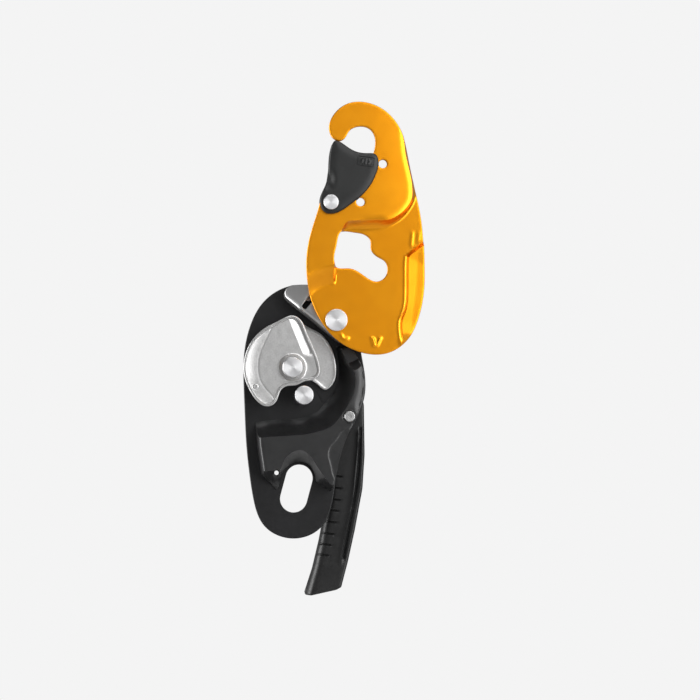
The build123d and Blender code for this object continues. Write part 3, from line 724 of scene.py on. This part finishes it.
GUIDE_FOOT = [
    (21.6, 78.4), (23.3, 67.9), (22.8, 59.6), (20.0, 52.5), (15.1, 46.4),
    (11.2, 42.0), (5.7, 39.8), (-0.9, 38.2), (-12.4, 37.6), (-22.6, 36.3),
]
GUIDE_CREST = [
    (24.6, 76.0), (29.5, 67.0), (31.3, 59.3), (30.2, 51.5), (26.7, 44.5),
    (18.9, 34.3), (10.1, 30.7), (2.2, 29.1), (-13.8, 28.0), (-21.4, 27.3),
]
COVE_POWER, COVE_EVEN = 2.3, 0.30
GUIDE_LEFT = [(-21.6, 23.5), (-19.3, 7.8), (-10.8, -0.6)]
GUIDE_LEFT_WALL = [(-22.6, 37.0)] + GUIDE_LEFT
LEFT_WALL_W, LEFT_BEVEL, LEFT_CHAMFER, CHAMFER_POWER = 0.5, 1.9, 1.7, 1.3
ARCH_FOOT = [
    (-9.6, 1.5), (-7.7, 8.6), (-3.2, 13.4), (2.0, 14.8), (6.8, 13.0), (9.9, 8.0), (11.2, 3.4), (18.8, -1.4),
]
ARCH_TOP = [
    (-9.6, 9.5), (-7.2, 15.6), (-3.4, 19.4), (1.8, 20.7), (6.2, 18.2), (10.7, 11.5), (15.2, 5.2), (19.4, 0.6),
]
ARCH_LEDGE, SCOOP_POWER, SCOOP_EVEN = 1.5, 1.8, 0.25
GUIDE_RIGHT = [
    (22.0, 11.5), (26.5, 26.5), (33.2, 40.2), (36.8, 51.0), (36.9, 62.5), (34.0, 70.5), (29.0, 77.5),
]
RIDGE_OUTER = [
    (21.2, 11.0), (25.6, 27.0), (31.0, 39.0), (30.9, 44.0), (32.9, 52.1), (33.8, 59.3), (33.4, 64.1),
    (31.0, 70.0), (27.5, 76.5),
]
# The right side first falls by FACET_DROP over most of its width and then steeply to the plate.
FACET_DROP, FACET_SHARE, RIGHT_FALL_SHARE = 0.5, 0.65, 0.7
RIDGE_TILT, RIDGE_FROM_X, RIDGE_FROM_Z = 0.21, 26.0, 40.0
DENT = [
    (24.5, 32.0), (20.6, 27.0), (16.6, 22.0), (15.9, 17.5), (17.2, 12.2), (19.4, 5.0), (28.0, 3.0),
    (32.0, 30.0),
]
DENT_SLOPE = 0.75
# A hollow under the moving plate's path: level near the pivot, then rising.
RIDGE_CLEAR_R, RIDGE_CLEAR_H, RIDGE_CLEAR_SLOPE, RIDGE_CLEAR_END = 24.0, 9.0, 4 / 3, 31.0
SCREW_AT = node_middle("rope_guide_screw")
SCREW_PAD_R, SCREW_PAD_EDGE, SCREW_GROOVE = 3.3, 0.7, 0.2
TETHER_HOLE_AT, TETHER_R = (-10.9, 8.6), 1.75
EYE_R, EYE_HALF_SPAN, EYE_TILT = 7.5, 5.8, 15.0
FAR = 120


def around_below(line):
    """Closes a line that runs from right to left with a region far below it."""
    return np.vstack((line, [(-FAR, line[-1][1]), (-FAR, -FAR), (FAR, -FAR), (FAR, line[0][1])]))


def around_left(line):
    """Closes a line that runs upwards with a region far to its left."""
    return np.vstack((line, [(line[-1][0], FAR), (-FAR, FAR), (-FAR, -FAR), (line[0][0], -FAR)]))


def around_top(line):
    """Closes a line that runs from left to right with a region far above it."""
    return np.vstack((line, [(FAR, line[-1][1]), (FAR, FAR), (-FAR, FAR), (-FAR, line[0][1])]))


def guide_cove(q, top):
    """The hollow side that faces the cam."""
    t = share_between(q, around_below(smooth_open(GUIDE_FOOT)), around_below(smooth_open(GUIDE_CREST)))
    return top * (COVE_EVEN * t + (1 - COVE_EVEN) * t**COVE_POWER)


def guide_scoop(q, top):
    """The hollow side over the eye."""
    t = share_between(q, around_top(smooth_open(ARCH_FOOT)), around_top(smooth_open(ARCH_TOP)))
    return ARCH_LEDGE + (top - ARCH_LEDGE) * (SCOOP_EVEN * t + (1 - SCOOP_EVEN) * t**SCOOP_POWER)


def guide_right(q, top):
    """The outer right side: a slightly sloped facet, then a steep one."""
    out = 1 - share_between(q, around_left(smooth_open(GUIDE_RIGHT)), around_left(smooth_open(RIDGE_OUTER)))
    steep = ramp((out - FACET_SHARE) / (1 - FACET_SHARE)) ** 1.3
    return top - FACET_DROP * ramp(out / FACET_SHARE) - (RIGHT_FALL_SHARE * top - FACET_DROP) * steep


def guide_left(q, top):
    """The left side: a wall with a broad chamfer."""
    inwards = away(np.array(GUIDE_LEFT_WALL), q, False)
    low = top - LEFT_CHAMFER
    chamfer = top - LEFT_CHAMFER * ramp(1 - (inwards - LEFT_WALL_W) / LEFT_BEVEL) ** CHAMFER_POWER
    return np.where(inwards < LEFT_WALL_W, low * (0.2 + 0.8 * inwards / LEFT_WALL_W), chamfer)


def guide_front(q):
    """The guide's front: the lowest of its sides and its level top, with a pad round the screw."""
    top = heights("rope_guide")[1]
    over = depth(around_below(smooth_open(GUIDE_CREST)), q)
    on_ridge = ease((q[:, 1] - RIDGE_FROM_Z) / 8) * ease((q[:, 0] - RIDGE_FROM_X) / 3)
    ridge_drop = RIDGE_TILT * np.maximum(over - 0.3, 0) * on_ridge
    dent = top - DENT_SLOPE * np.maximum(depth(closed_curve(DENT, 1.0), q) - 0.4, 0)
    height = soft_min(guide_cove(q, top), top - ridge_drop, 0.6)
    height = soft_min(height, guide_scoop(q, top), 0.5)
    height = soft_min(height, guide_right(q, top) - ridge_drop, 0.3)
    height = soft_min(height, guide_left(q, top), 0.5)
    height = soft_min(height, dent, 0.5)
    r = from_point(q, SCREW_AT) - SCREW_PAD_R
    groove = ease((r + SCREW_PAD_EDGE) / 0.5) * ease((SCREW_PAD_EDGE - r) / 0.5)
    height = np.where(r < SCREW_PAD_EDGE, top - 0.05 - SCREW_GROOVE * groove, height)
    r = from_point(q, PLATE_AXIS)
    clear = RIDGE_CLEAR_H + np.maximum(r - RIDGE_CLEAR_R, 0) * RIDGE_CLEAR_SLOPE - 0.15
    return np.minimum(height, np.where(r < RIDGE_CLEAR_END, clear, top))


def guide_lip(loop):
    """Edge rounding: almost none where the cove runs out on the plate, full on the walls."""
    return np.clip(guide_front(loop) * 0.12, 0.03, 0.7)


def guide_outline():
    """The guide's foot line, left side, arch and right side, without what lies over the eye."""
    wall = list(smooth_open(GUIDE_FOOT, 0.6)) + GUIDE_LEFT
    wall += list(smooth_open(ARCH_FOOT, 0.6)) + list(smooth_open(GUIDE_RIGHT, 0.8))
    outer = polyline(wall, 0.8)
    return outer[~within(slot((0, 0), EYE_HALF_SPAN, EYE_R + 0.2, 90 - EYE_TILT), outer)]


def rope_guide():
    lines = [smooth_open(line, 0.7) for line in (GUIDE_CREST, ARCH_TOP, RIDGE_OUTER)]
    lines += [beside_line for line in lines for beside_line in beside(line, (-0.8, -0.4, 0.4, 0.8))]
    lines += beside(smooth_open(RIDGE_OUTER, 0.7), (-1.2, -1.7, -2.2, -2.7))
    lines += beside(turned(closed_curve(DENT, 0.7), True), (0, 0.4, 0.8))
    for d in (0.5, 0.9, 1.3, 1.8, 2.4):
        lines.append(polyline(np.array(GUIDE_LEFT_WALL) + (d, 0.25 * d), 0.7, closed=False))
    lines += [arc(PLATE_AXIS, r, 235, 300, 0.6) for r in np.arange(RIDGE_CLEAR_R - 0.5, 29.5, 0.5)]
    lines += [circle(SCREW_AT, SCREW_PAD_R + d) for d in np.arange(-0.6, 1.0, 0.2)]
    hole = circle(TETHER_HOLE_AT, TETHER_R)
    shell = relief(guide_outline(), [hole], guide_front, flat(0), guide_lip, 0.02, 0.9, lines)
    piece("rope_guide_moulding", [shell], "fixed_side", "guide_nylon", ["rope_guide"], GUIDE, crisp=42)


# ---- friction plate

WALL_LEFT, WALL_RIGHT = (-5.2, 102.5), (22.4, 80.0)
FRICTION_OUTLINE = [
    WALL_RIGHT, (27.5, 79.2), (33.0, 84.5), (31.0, 95.0), (25.8, 102.6), (17.8, 108.2), (7.4, 110.9),
    (0.7, 111.1), (-3.6, 110.9), (-6.4, 109.2), (-7.2, 106.6), (-6.8, 104.2), WALL_LEFT,
]
FRICTION_CORNERS = [1, 3, 8, 20, 20, 20, 20, 6, 6, 4, 4, 3, 3]
BEND_FOOT, BEND_HEAD = (0.7, 98.0), (5.4, 105.8)
END_SLOPE, WALL_BEND_R, WALL_BEND_SHARE, FRICTION_T = 0.32, 3.0, 0.8, 2.5
VENT_AT, VENT_L, VENT_W, VENT_ANGLE = (6.6, 102.7), 12.0, 2.9, 50.8
PIVOT_R = 3.5


def direction(start, end):
    """The unit vector from one point to another."""
    run = np.array(end) - np.array(start)
    return run / np.linalg.norm(run)


def from_wall(q):
    """Distance from the wall's rope face, into the bracket."""
    along = direction(WALL_LEFT, WALL_RIGHT)
    x, z = (q - WALL_LEFT).T
    return z * along[0] - x * along[1]


def friction_front(q):
    """The bracket's front flange, level and then dropping away to the left."""
    bend = direction(BEND_FOOT, BEND_HEAD)
    x, z = (q - BEND_FOOT).T
    side = x * bend[1] - z * bend[0]
    drop = END_SLOPE * (0.5 * (np.hypot(side, 0.8) - side))
    near = np.clip(WALL_BEND_R - from_wall(q), 0, WALL_BEND_R)
    rounding = WALL_BEND_R - np.sqrt(np.maximum(WALL_BEND_R**2 - near**2, 0))
    return heights("friction_plate")[1] - drop - WALL_BEND_SHARE * rounding


def friction_back(q):
    """The flange's back, except along the wall, which reaches down to the plate."""
    deep = ease((from_wall(q) - FRICTION_T) / 0.5)
    return deep * (friction_front(q) - FRICTION_T) + (1 - deep) * 0.05


def friction_plate():
    outer = rounded(FRICTION_OUTLINE, FRICTION_CORNERS, 0.6)
    along = direction(WALL_LEFT, WALL_RIGHT)
    wall = polyline([WALL_LEFT - along * 4, WALL_RIGHT + along * 12], 0.6, closed=False)
    inward = np.array((-along[1], along[0]))
    rows = [wall + inward * d for d in (0.7, 1.2, 1.7, 2.2, FRICTION_T, FRICTION_T + 0.5, 3.5)]
    across = np.array(BEND_HEAD) - np.array(BEND_FOOT)
    rows.append(polyline([BEND_FOOT - across, BEND_HEAD + across * 2], 0.5, closed=False))
    pin, vent = circle(PLATE_AXIS, PIVOT_R), slot(VENT_AT, (VENT_L - VENT_W) / 2, VENT_W / 2, VENT_ANGLE)
    top = relief(outer, [pin, vent], friction_front, friction_back, 0.5, 0.4, 1.2, rows)
    inside = outer[from_wall(outer) > FRICTION_T - 0.3]
    # The base shell takes the near-black painted-shade steel, which stands in for the shadow inside the vent.
    base = relief(polyline(inside, 1.0), [pin], flat(FRICTION_T), flat(0), 0.5, 0.4, 1.6)
    piece("friction_bracket", [top, base], "fixed_side", "bracket_steel",
          ["friction_plate"], BRACKET, VENT_SHADE_STEEL, crisp=35)


# ---- cam

CAM_OUTLINE = [
    (-2.6, 94.1), (0.9, 92.4), (4.6, 85.7), (9.5, 74.3), (11.9, 66.7), (11.8, 62.1), (8.6, 59.0), (3.8, 58.2),
    (-0.6, 56.2), (-5.6, 55.6), (-9.2, 53.3), (-10.7, 49.5), (-13.0, 45.7), (-17.0, 44.5), (-21.6, 46.9),
    (-26.2, 53.3), (-29.3, 61.5), (-29.3, 69.6), (-25.4, 79.8), (-18.0, 87.3), (-10.0, 91.5),
]
CORE_OUTLINE = [
    (-3.0, 90.0), (-0.6, 88.5), (3.2, 81.0), (7.2, 71.5), (8.2, 64.0), (6.8, 60.6), (2.8, 59.2), (-3.6, 57.2),
    (-9.6, 56.6), (-13.4, 51.0), (-17.0, 48.6), (-20.2, 51.6), (-24.0, 59.0), (-25.2, 67.0), (-21.6, 77.6),
    (-15.4, 84.2), (-8.4, 88.4),
]
WING_OUTLINE = [
    (-2.6, 93.4), (4.2, 89.6), (12.8, 84.9), (19.5, 75.7), (21.7, 65.6), (20.2, 58.0), (15.6, 54.0),
    (11.1, 57.2), (6.0, 59.3), (-0.6, 57.0), (-6.5, 56.2), (-11.5, 50.0), (-16.0, 47.8), (-22.0, 52.0),
    (-26.6, 61.0), (-26.4, 71.0), (-21.0, 82.0), (-12.0, 89.4),
]
CRESCENT_LINE = [
    (-13.0, 90.2), (-15.6, 84.6), (-18.4, 78.6), (-20.8, 72.6), (-21.6, 66.7), (-20.8, 60.0), (-17.8, 54.5),
    (-13.7, 49.9), (-12.4, 46.0),
]
BAND_LINE = [(-5.2, 93.5), (-4.2, 90.6), (-0.9, 82.3), (2.9, 73.2), (6.0, 68.0), (7.6, 63.0), (6.6, 57.0)]
CAM_CURVE = closed_curve(CAM_OUTLINE, 0.6)
CORE_CURVE = closed_curve(CORE_OUTLINE, 0.7)
WING_CURVE = closed_curve(WING_OUTLINE, 0.7)
CAM_LOW, CAM_FLANGE_LOW, WING_TOP, GROOVE_FLANK, FLANK_POWER = 0.8, 10.8, 3.4, 2.4, 2.2
CAM_RIM_W, CAM_FLOOR, CAM_RIM_TOP, CAM_LEDGE = 1.7, 13.5, 14.7, 14.4
# The plateau curves up to the left of one line and slopes down to the right of the other.
CRESCENT_CURVE, BAND_SLOPE, BAND_END_Z = 0.020, 0.27, 71.5
BUSH_R, DISH_R, DISH_SLOPE, INNER_LIP_R, INNER_LIP_SLOPE = 5.2, 7.3, 0.30, 5.5, 4.0
CAM_PIN_AT, PIN_GROOVE_R = node_middle("cam_pin"), 1.5


def cam_front(q):
    """The front flange: a flat plateau whose sides slope down to a beaded rim."""
    d = depth(CAM_CURVE, q)
    left = depth(np.vstack((smooth_open(CRESCENT_LINE, 0.8), [(60, 30), (60, 120)])), q)
    right = depth(np.vstack((smooth_open(BAND_LINE, 0.8), [(-60, 40), (-60, 110)])), q)
    beyond_left, beyond_right = np.maximum(-left, 0), np.maximum(-right, 0)
    plateau = CAM_FLOOR + CRESCENT_CURVE * beyond_left**2 * (0.35 + 0.65 * ease((q[:, 1] - 52) / 12))
    plateau = plateau - BAND_SLOPE * beyond_right * (1.15 * ease((q[:, 1] - BAND_END_Z) / 3) - 0.15)
    plateau = np.clip(plateau - 0.10 * bump(left + 0.1, 0.22), CAM_FLOOR - 1.1, CAM_LEDGE)
    r = from_point(q, CAM_AXIS)
    dish = CAM_FLOOR - 0.1 - DISH_SLOPE * (DISH_R - r)
    plateau = np.where(r < DISH_R, dish, plateau) + 0.22 * bump(r - DISH_R - 0.1, 0.3)
    plateau = np.maximum(plateau, CAM_LEDGE - INNER_LIP_SLOPE * np.maximum(r - INNER_LIP_R, 0))
    bead = CAM_RIM_TOP - 0.10 * np.abs(d - 0.75) - 2.4 * np.maximum(d - CAM_RIM_W + 0.35, 0)
    rim_groove = 0.28 * bump(d - CAM_RIM_W + 0.75, 0.16)
    pin_groove = 0.25 * bump(from_point(q, CAM_PIN_AT) - PIN_GROOVE_R, 0.18)
    return np.maximum(plateau, np.where(d < CAM_RIM_W + 1, bead, 0)) - rim_groove - pin_groove


def cam_body(q):
    """The groove floor and the back flange: a column that flares into the wing."""
    near = ramp(1 + depth(CORE_CURVE, q) / GROOVE_FLANK)
    rim = 0.25 * bump(depth(WING_CURVE, q) - 0.9, 0.3)
    return WING_TOP - 0.3 + rim + (CAM_FLANGE_LOW + 0.2 - WING_TOP) * near**FLANK_POWER


def cam():
    bore = circle(CAM_AXIS, BUSH_R)
    lines = beside(turned(CAM_CURVE, True), np.arange(0.72, 2.9, 0.22))
    lines += beside(smooth_open(CRESCENT_LINE, 0.5), (-0.3, 0, 0.3, 0.9))
    lines += beside(smooth_open(BAND_LINE, 0.5), (-0.5, 0, 0.5, 1.0))
    lines += [circle(CAM_AXIS, BUSH_R + d) for d in np.arange(0.7, 3.2, 0.25)]
    lines += [circle(CAM_PIN_AT, d) for d in np.arange(1.2, 2.6, 0.2)]
    front = relief(CAM_CURVE, [bore], cam_front, flat(CAM_FLANGE_LOW), 0.5, 0.5, 0.9, lines)
    lines = [CORE_CURVE] + beside(turned(CORE_CURVE, False), (GROOVE_FLANK, 1.2, 0.5))
    lines += beside(turned(WING_CURVE, True), (0.6, 0.9, 1.2, 1.6))
    body = relief(WING_CURVE, [bore], cam_body, flat(CAM_LOW), 0.4, 0.4, 1.1, lines)
    piece("cam_casting", [front, body], "cam_body", "cast_steel", ["cam"], CAST, crisp=40)


# ---- gate

GATE_OUTLINE = [
    (19.4, 188.6), (25.1, 186.2), (30.6, 183.0), (37.0, 182.0), (41.6, 181.4), (43.3, 177.0), (42.2, 171.4),
    (38.8, 164.4), (33.4, 158.2), (26.9, 153.2), (19.2, 149.0), (14.4, 149.4), (11.7, 153.0), (12.0, 159.2),
    (14.6, 165.0), (16.2, 175.0), (17.4, 185.0),
]
GATE_SPINE = [
    (17.9, 187.2), (20.0, 186.6), (21.5, 182.0), (21.9, 176.0), (20.2, 169.6), (16.8, 165.4), (14.9, 164.8),
    (16.4, 175.0),
]
GATE_CURVE = closed_curve(GATE_OUTLINE, 0.5)
GATE_FRONT_LOW, GATE_REAR_LOW, GATE_REAR_TOP, GATE_BORE_R = 23.9, 17.8, 20.2, 2.26
DOME_DROP, DOME_W = 0.9, 5.0
THUMB_SCOOP_AT, THUMB_SCOOP_R, THUMB_SCOOP_D, THUMB_SCOOP_STRETCH = (16.0, 167.2), 5.6, 2.0, (1.15, 0.8)
PANEL_AT, PANEL_SIZE, PANEL_TILT, PANEL_D = np.array((36.1, 177.3)), np.array((9.4, 5.4)), -8.0, 0.45
PANEL_ALONG = np.array((cos(radians(PANEL_TILT)), sin(radians(PANEL_TILT))))
PANEL_UP = np.array((-PANEL_ALONG[1], PANEL_ALONG[0]))
RIB_PITCH, RIB_H = 1.9, 0.38


def gate_front(q):
    """The gate's front cheek: gently domed, with a thumb scoop and a small ribbed panel."""
    height = heights("gate")[1] - DOME_DROP * ramp(1 - depth(GATE_CURVE, q) / DOME_W) ** 2.2
    r = np.hypot(*((q - THUMB_SCOOP_AT) * THUMB_SCOOP_STRETCH).T)
    height = height - THUMB_SCOOP_D * ease(1 - r / THUMB_SCOOP_R)
    u, v = (q - PANEL_AT) @ PANEL_ALONG, (q - PANEL_AT) @ PANEL_UP
    inside = -np.maximum(np.abs(u) - PANEL_SIZE[0] / 2, np.abs(v) - PANEL_SIZE[1] / 2)
    ribs = ease((np.cos(u * 2 * pi / RIB_PITCH) - 0.2) / 0.5) * ease((inside - 0.9) / 0.4)
    return height - PANEL_D * ease(inside / 0.5) + RIB_H * ribs


def panel_frame(inset):
    """A line of points round the ribbed panel, inset from its edge."""
    a, b = PANEL_SIZE / 2 - inset
    signs = ((1, 1), (-1, 1), (-1, -1), (1, -1))
    return polyline([PANEL_AT + PANEL_ALONG * a * i + PANEL_UP * b * j for i, j in signs], 0.35)


def gate():
    bore = circle(GATE_AXIS, GATE_BORE_R)
    frames = [panel_frame(inset) for inset in (0.0, 0.5, 0.9, 1.3)]
    front = relief(GATE_CURVE, [bore], gate_front, flat(GATE_FRONT_LOW), 0.7, 0.3, 0.7, frames)
    rear = relief(GATE_CURVE, [bore], flat(GATE_REAR_TOP), flat(GATE_REAR_LOW), 0.25, 0.7, 1.6)
    spine = block(rounded(GATE_SPINE, 0.7), GATE_REAR_LOW + 0.7, GATE_FRONT_LOW + 0.6)
    piece("gate_moulding", [front, rear, spine], "gate_body", "gate_nylon", ["gate"], GATE, crisp=40)


# ---- handle

GRIP_OUTLINE = [
    (36.0, 52.0), (37.5, 46.1), (37.9, 18.7), (36.7, 0.0), (32.5, -22.6), (28.7, -39.9), (25.0, -54.1),
    (22.4, -55.6), (8.4, -58.7), (5.4, -58.3), (5.0, -56.6), (9.2, -43.6), (12.9, -27.9), (16.5, -9.0),
    (17.6, 5.0), (16.5, 18.6), (12.0, 32.0), (2.0, 44.0), (-8.0, 60.0), (10.0, 80.0), (24.0, 72.0),
]
GRIP_CORNERS = [2, 4, 30, 30, 30, 30, 1.2, 6, 3, 0.8, 0.8, 20, 30, 30, 20, 20, 12, 12, 6, 6, 6]
HUB_R, INSERT_R, HUB_BACK_H, HANDLE_NECK_Z = 22.0, 9.0, -15.6, 34.0
BEAD_LINE = [
    (34.6, 33.0), (34.0, 22.0), (32.8, 10.3), (31.4, -3.8), (28.7, -18.8), (25.4, -37.6), (24.6, -42.0),
]
HANDLE_GROOVE = [(35.3, 33.0), (35.0, 20.0), (34.2, 8.5), (32.0, -7.5), (29.1, -22.6), (26.3, -38.3)]
FIELD_D, BEAD_H, BEAD_W, HANDLE_GROOVE_D, HANDLE_GROOVE_W = 0.35, 0.45, 0.75, 0.9, 0.6
LEFT_EDGE = [(5.2, -58.0), (9.2, -43.6), (12.9, -27.9), (16.5, -9.0), (17.6, 5.0), (16.5, 18.6)]
LEFT_ROLL, LEFT_ROLL_W, LEFT_ROLL_TOP = 4.2, 5.0, 14.0
BACK_CROWN, BACK_CROWN_W = 2.2, 7.0
# Finger grooves on the left, deeper in front than behind.
GROOVE_Z = [7.6, 1.1, -5.3, -11.3, -17.7, -24.1, -30.1, -35.8]
GROOVE_SLOPE, GROOVE_LENGTH, GROOVE_D, GROOVE_BACK_D = sin(radians(-8.0)), 8.0, 0.8, 0.6


def opened(loop):
    """The loop anticlockwise, starting after its widest gap."""
    loop = turned(loop, True)
    gap = int(np.argmax(np.hypot(*(np.roll(loop, 1, 0) - loop).T)))
    return np.roll(loop, -gap, 0)


def handle_outline():
    """The lever's outline joined with the round hub."""
    grip, hub = rounded(GRIP_OUTLINE, GRIP_CORNERS), circle(CAM_AXIS, HUB_R, 1.0)
    outside = [opened(grip[~within(hub, grip)]), opened(hub[~within(grip, hub)])]
    return polyline(np.vstack(outside), 1.0)


HANDLE_CURVE = handle_outline()


def handle_left(z):
    """The lever's left edge at a height up the grip."""
    x, up = np.array(LEFT_EDGE).T
    return np.interp(z, up, x)


def handle_front(q):
    """The lever's front: rolled on the left, with a field, a bead, a long groove and finger grooves."""
    along = q[:, 0] - handle_left(q[:, 1])
    below_neck = ease((LEFT_ROLL_TOP - q[:, 1]) / 12)
    height = heights("handle")[1] - LEFT_ROLL * ramp(1 - along / LEFT_ROLL_W) ** 2.2 * below_neck
    on_grip = ease((34 - q[:, 1]) / 4) * ease((q[:, 1] + 44) / 6)
    bead = smooth_open(BEAD_LINE)
    field = depth(np.vstack((bead, [(0, -42), (0, 33)])), q)
    height = height + (BEAD_H * bump(away(bead, q, False), BEAD_W) - FIELD_D * ease(field / 2.0)) * on_grip
    height = height - HANDLE_GROOVE_D * bump(away(smooth_open(HANDLE_GROOVE), q, False), HANDLE_GROOVE_W)
    for z in GROOVE_Z:
        across = q[:, 1] - z - along * GROOVE_SLOPE
        height = height - GROOVE_D * bump(across, 0.42, 4) * ease((GROOVE_LENGTH - along) / 0.8)
    return height


def handle_back(q):
    """The lever's back, thinner over the hub and the neck and crowned along the grip."""
    back = heights("handle")[0]
    neck = ease((q[:, 1] - HANDLE_NECK_Z + 6) / 6)
    crown = BACK_CROWN * ramp(1 - depth(HANDLE_CURVE, q) / BACK_CROWN_W) ** 2 * (1 - neck)
    along = q[:, 0] - handle_left(q[:, 1])
    grooves = sum(bump(q[:, 1] - z, 0.45, 4) for z in GROOVE_Z) * ease((GROOVE_LENGTH - along) / 0.8)
    return back + crown + neck * (HUB_BACK_H - back) + GROOVE_BACK_D * grooves


def handle():
    lines = []
    for line in (BEAD_LINE, HANDLE_GROOVE):
        lines += beside(smooth_open(line, 0.7), np.arange(-1, 1.1, 0.33))
    rolled = np.array([(handle_left(z), z) for z in np.arange(-56, 14, 2.0)])
    lines += [smooth_open(rolled + (d, 0), 0.9) for d in (2.0, 3.0, 4.0, LEFT_ROLL_W)]
    for z in GROOVE_Z:
        groove = np.array([(0, z), (GROOVE_LENGTH, z + GROOVE_LENGTH * GROOVE_SLOPE)]) + (handle_left(z), 0)
        lines += [polyline(groove + (0, d), 0.6, closed=False) for d in (-0.6, -0.3, 0.0, 0.3, 0.6)]
    bore = circle(CAM_AXIS, INSERT_R)
    shell = relief(HANDLE_CURVE, [bore], handle_front, handle_back, 1.3, 2.6, 1.4, lines)
    piece("handle_moulding", [shell], "handle_body", "handle_nylon", ["handle"], GRIP, crisp=45)


# ---- studio, in metres

VIEW_WIDTH = 0.385
VIEW_AT = (0.0294, 0.0, 0.0761)
VIEW_DISTANCE, VIEW_AZIMUTH, VIEW_ELEVATION = 1.6, -4.0, -3.0
SENSOR = 36.0
BACKGROUND = 0.905
ROOM_MIDDLE, ROOM_ENDS, MIDDLE_UP_TO, ENDS_FROM = 0.39, 0.08, 0.15, 0.75
FLOOR_AT, FLOOR_R, FLOOR_Z = (VIEW_AT[0], 0), 0.45, -0.16


def look_at(obj, target):
    obj.rotation_euler = (Vector(target) - obj.location).to_track_quat("-Z", "Y").to_euler()


def camera():
    data = bpy.data.cameras.new("camera")
    data.sensor_width = SENSOR
    data.lens = SENSOR * VIEW_DISTANCE / VIEW_WIDTH
    data.clip_end = 20
    made = new_object("camera", data)
    a, e = radians(VIEW_AZIMUTH), radians(VIEW_ELEVATION)
    back = Vector((sin(a) * cos(e), -cos(a) * cos(e), sin(e)))
    made.location = Vector(VIEW_AT) + back * VIEW_DISTANCE
    look_at(made, VIEW_AT)
    bpy.context.scene.camera = made


def softbox(name, place, size, power):
    data = bpy.data.lights.new(name, "AREA")
    data.shape = "RECTANGLE"
    data.size, data.size_y = size
    data.energy = power
    made = new_object(name, data)
    made.location = place
    look_at(made, VIEW_AT)
    made.visible_camera = False


def surroundings():
    """A pale room: seen directly it is the plain background, and for the lighting it is dimmer,
    most of all overhead and underneath."""
    world = bpy.data.worlds.new("pale_room")
    bpy.context.scene.world = world
    world.use_nodes = True
    tree = world.node_tree
    tree.nodes.clear()
    place = add_node(tree, "ShaderNodeTexCoord").outputs["Generated"]
    upwards = add_node(tree, "ShaderNodeSeparateXYZ", {0: place}).outputs["Z"]
    steepness = add_node(tree, "ShaderNodeMath", {0: upwards}, operation="ABSOLUTE").outputs[0]
    level = map_range(tree, steepness, MIDDLE_UP_TO, ENDS_FROM, ROOM_MIDDLE, ROOM_ENDS,
                      interpolation_type="SMOOTHSTEP")
    room = add_node(tree, "ShaderNodeBackground", {"Color": level}).outputs[0]
    backdrop = add_node(tree, "ShaderNodeBackground", Color=(*[BACKGROUND] * 3, 1)).outputs[0]
    seen_directly = add_node(tree, "ShaderNodeLightPath").outputs["Is Camera Ray"]
    mix = add_node(tree, "ShaderNodeMixShader", {0: seen_directly, 1: room, 2: backdrop})
    add_node(tree, "ShaderNodeOutputWorld", {"Surface": mix.outputs[0]})


def floor():
    mesh = bpy.data.meshes.new("floor")
    rim = [(x, y, FLOOR_Z) for x, y in circle(FLOOR_AT, FLOOR_R, 0.02)]
    mesh.from_pydata(rim, [], [tuple(range(len(rim)))])
    made = new_object("floor", mesh)
    paint = Finish("pale_floor", (0.8, 0.8, 0.8), roughness=0.9)
    paint.blotch(paint.noise(60, 3), (0.79, 0.79, 0.79), (0.82, 0.82, 0.82))
    mesh.materials.append(paint.material)


def studio():
    camera()
    surroundings()
    floor()
    softbox("right_box", (0.70, -0.85, 0.25), (0.6, 1.2), 10)
    softbox("left_box", (-1.05, -0.05, 0.05), (0.5, 1.3), 16)
    softbox("top_box", (0.10, -0.65, 1.05), (0.9, 0.3), 4)
    softbox("high_box", (0.30, -1.50, 0.90), (1.2, 0.5), 2.4)
    bpy.context.scene.view_settings.view_transform = "Standard"


studio()
for node, material in CARRIED_OVER.items():
    carry_over(node, material)
moving_side_plate()
rope_guide()
friction_plate()
cam()
gate()
handle()
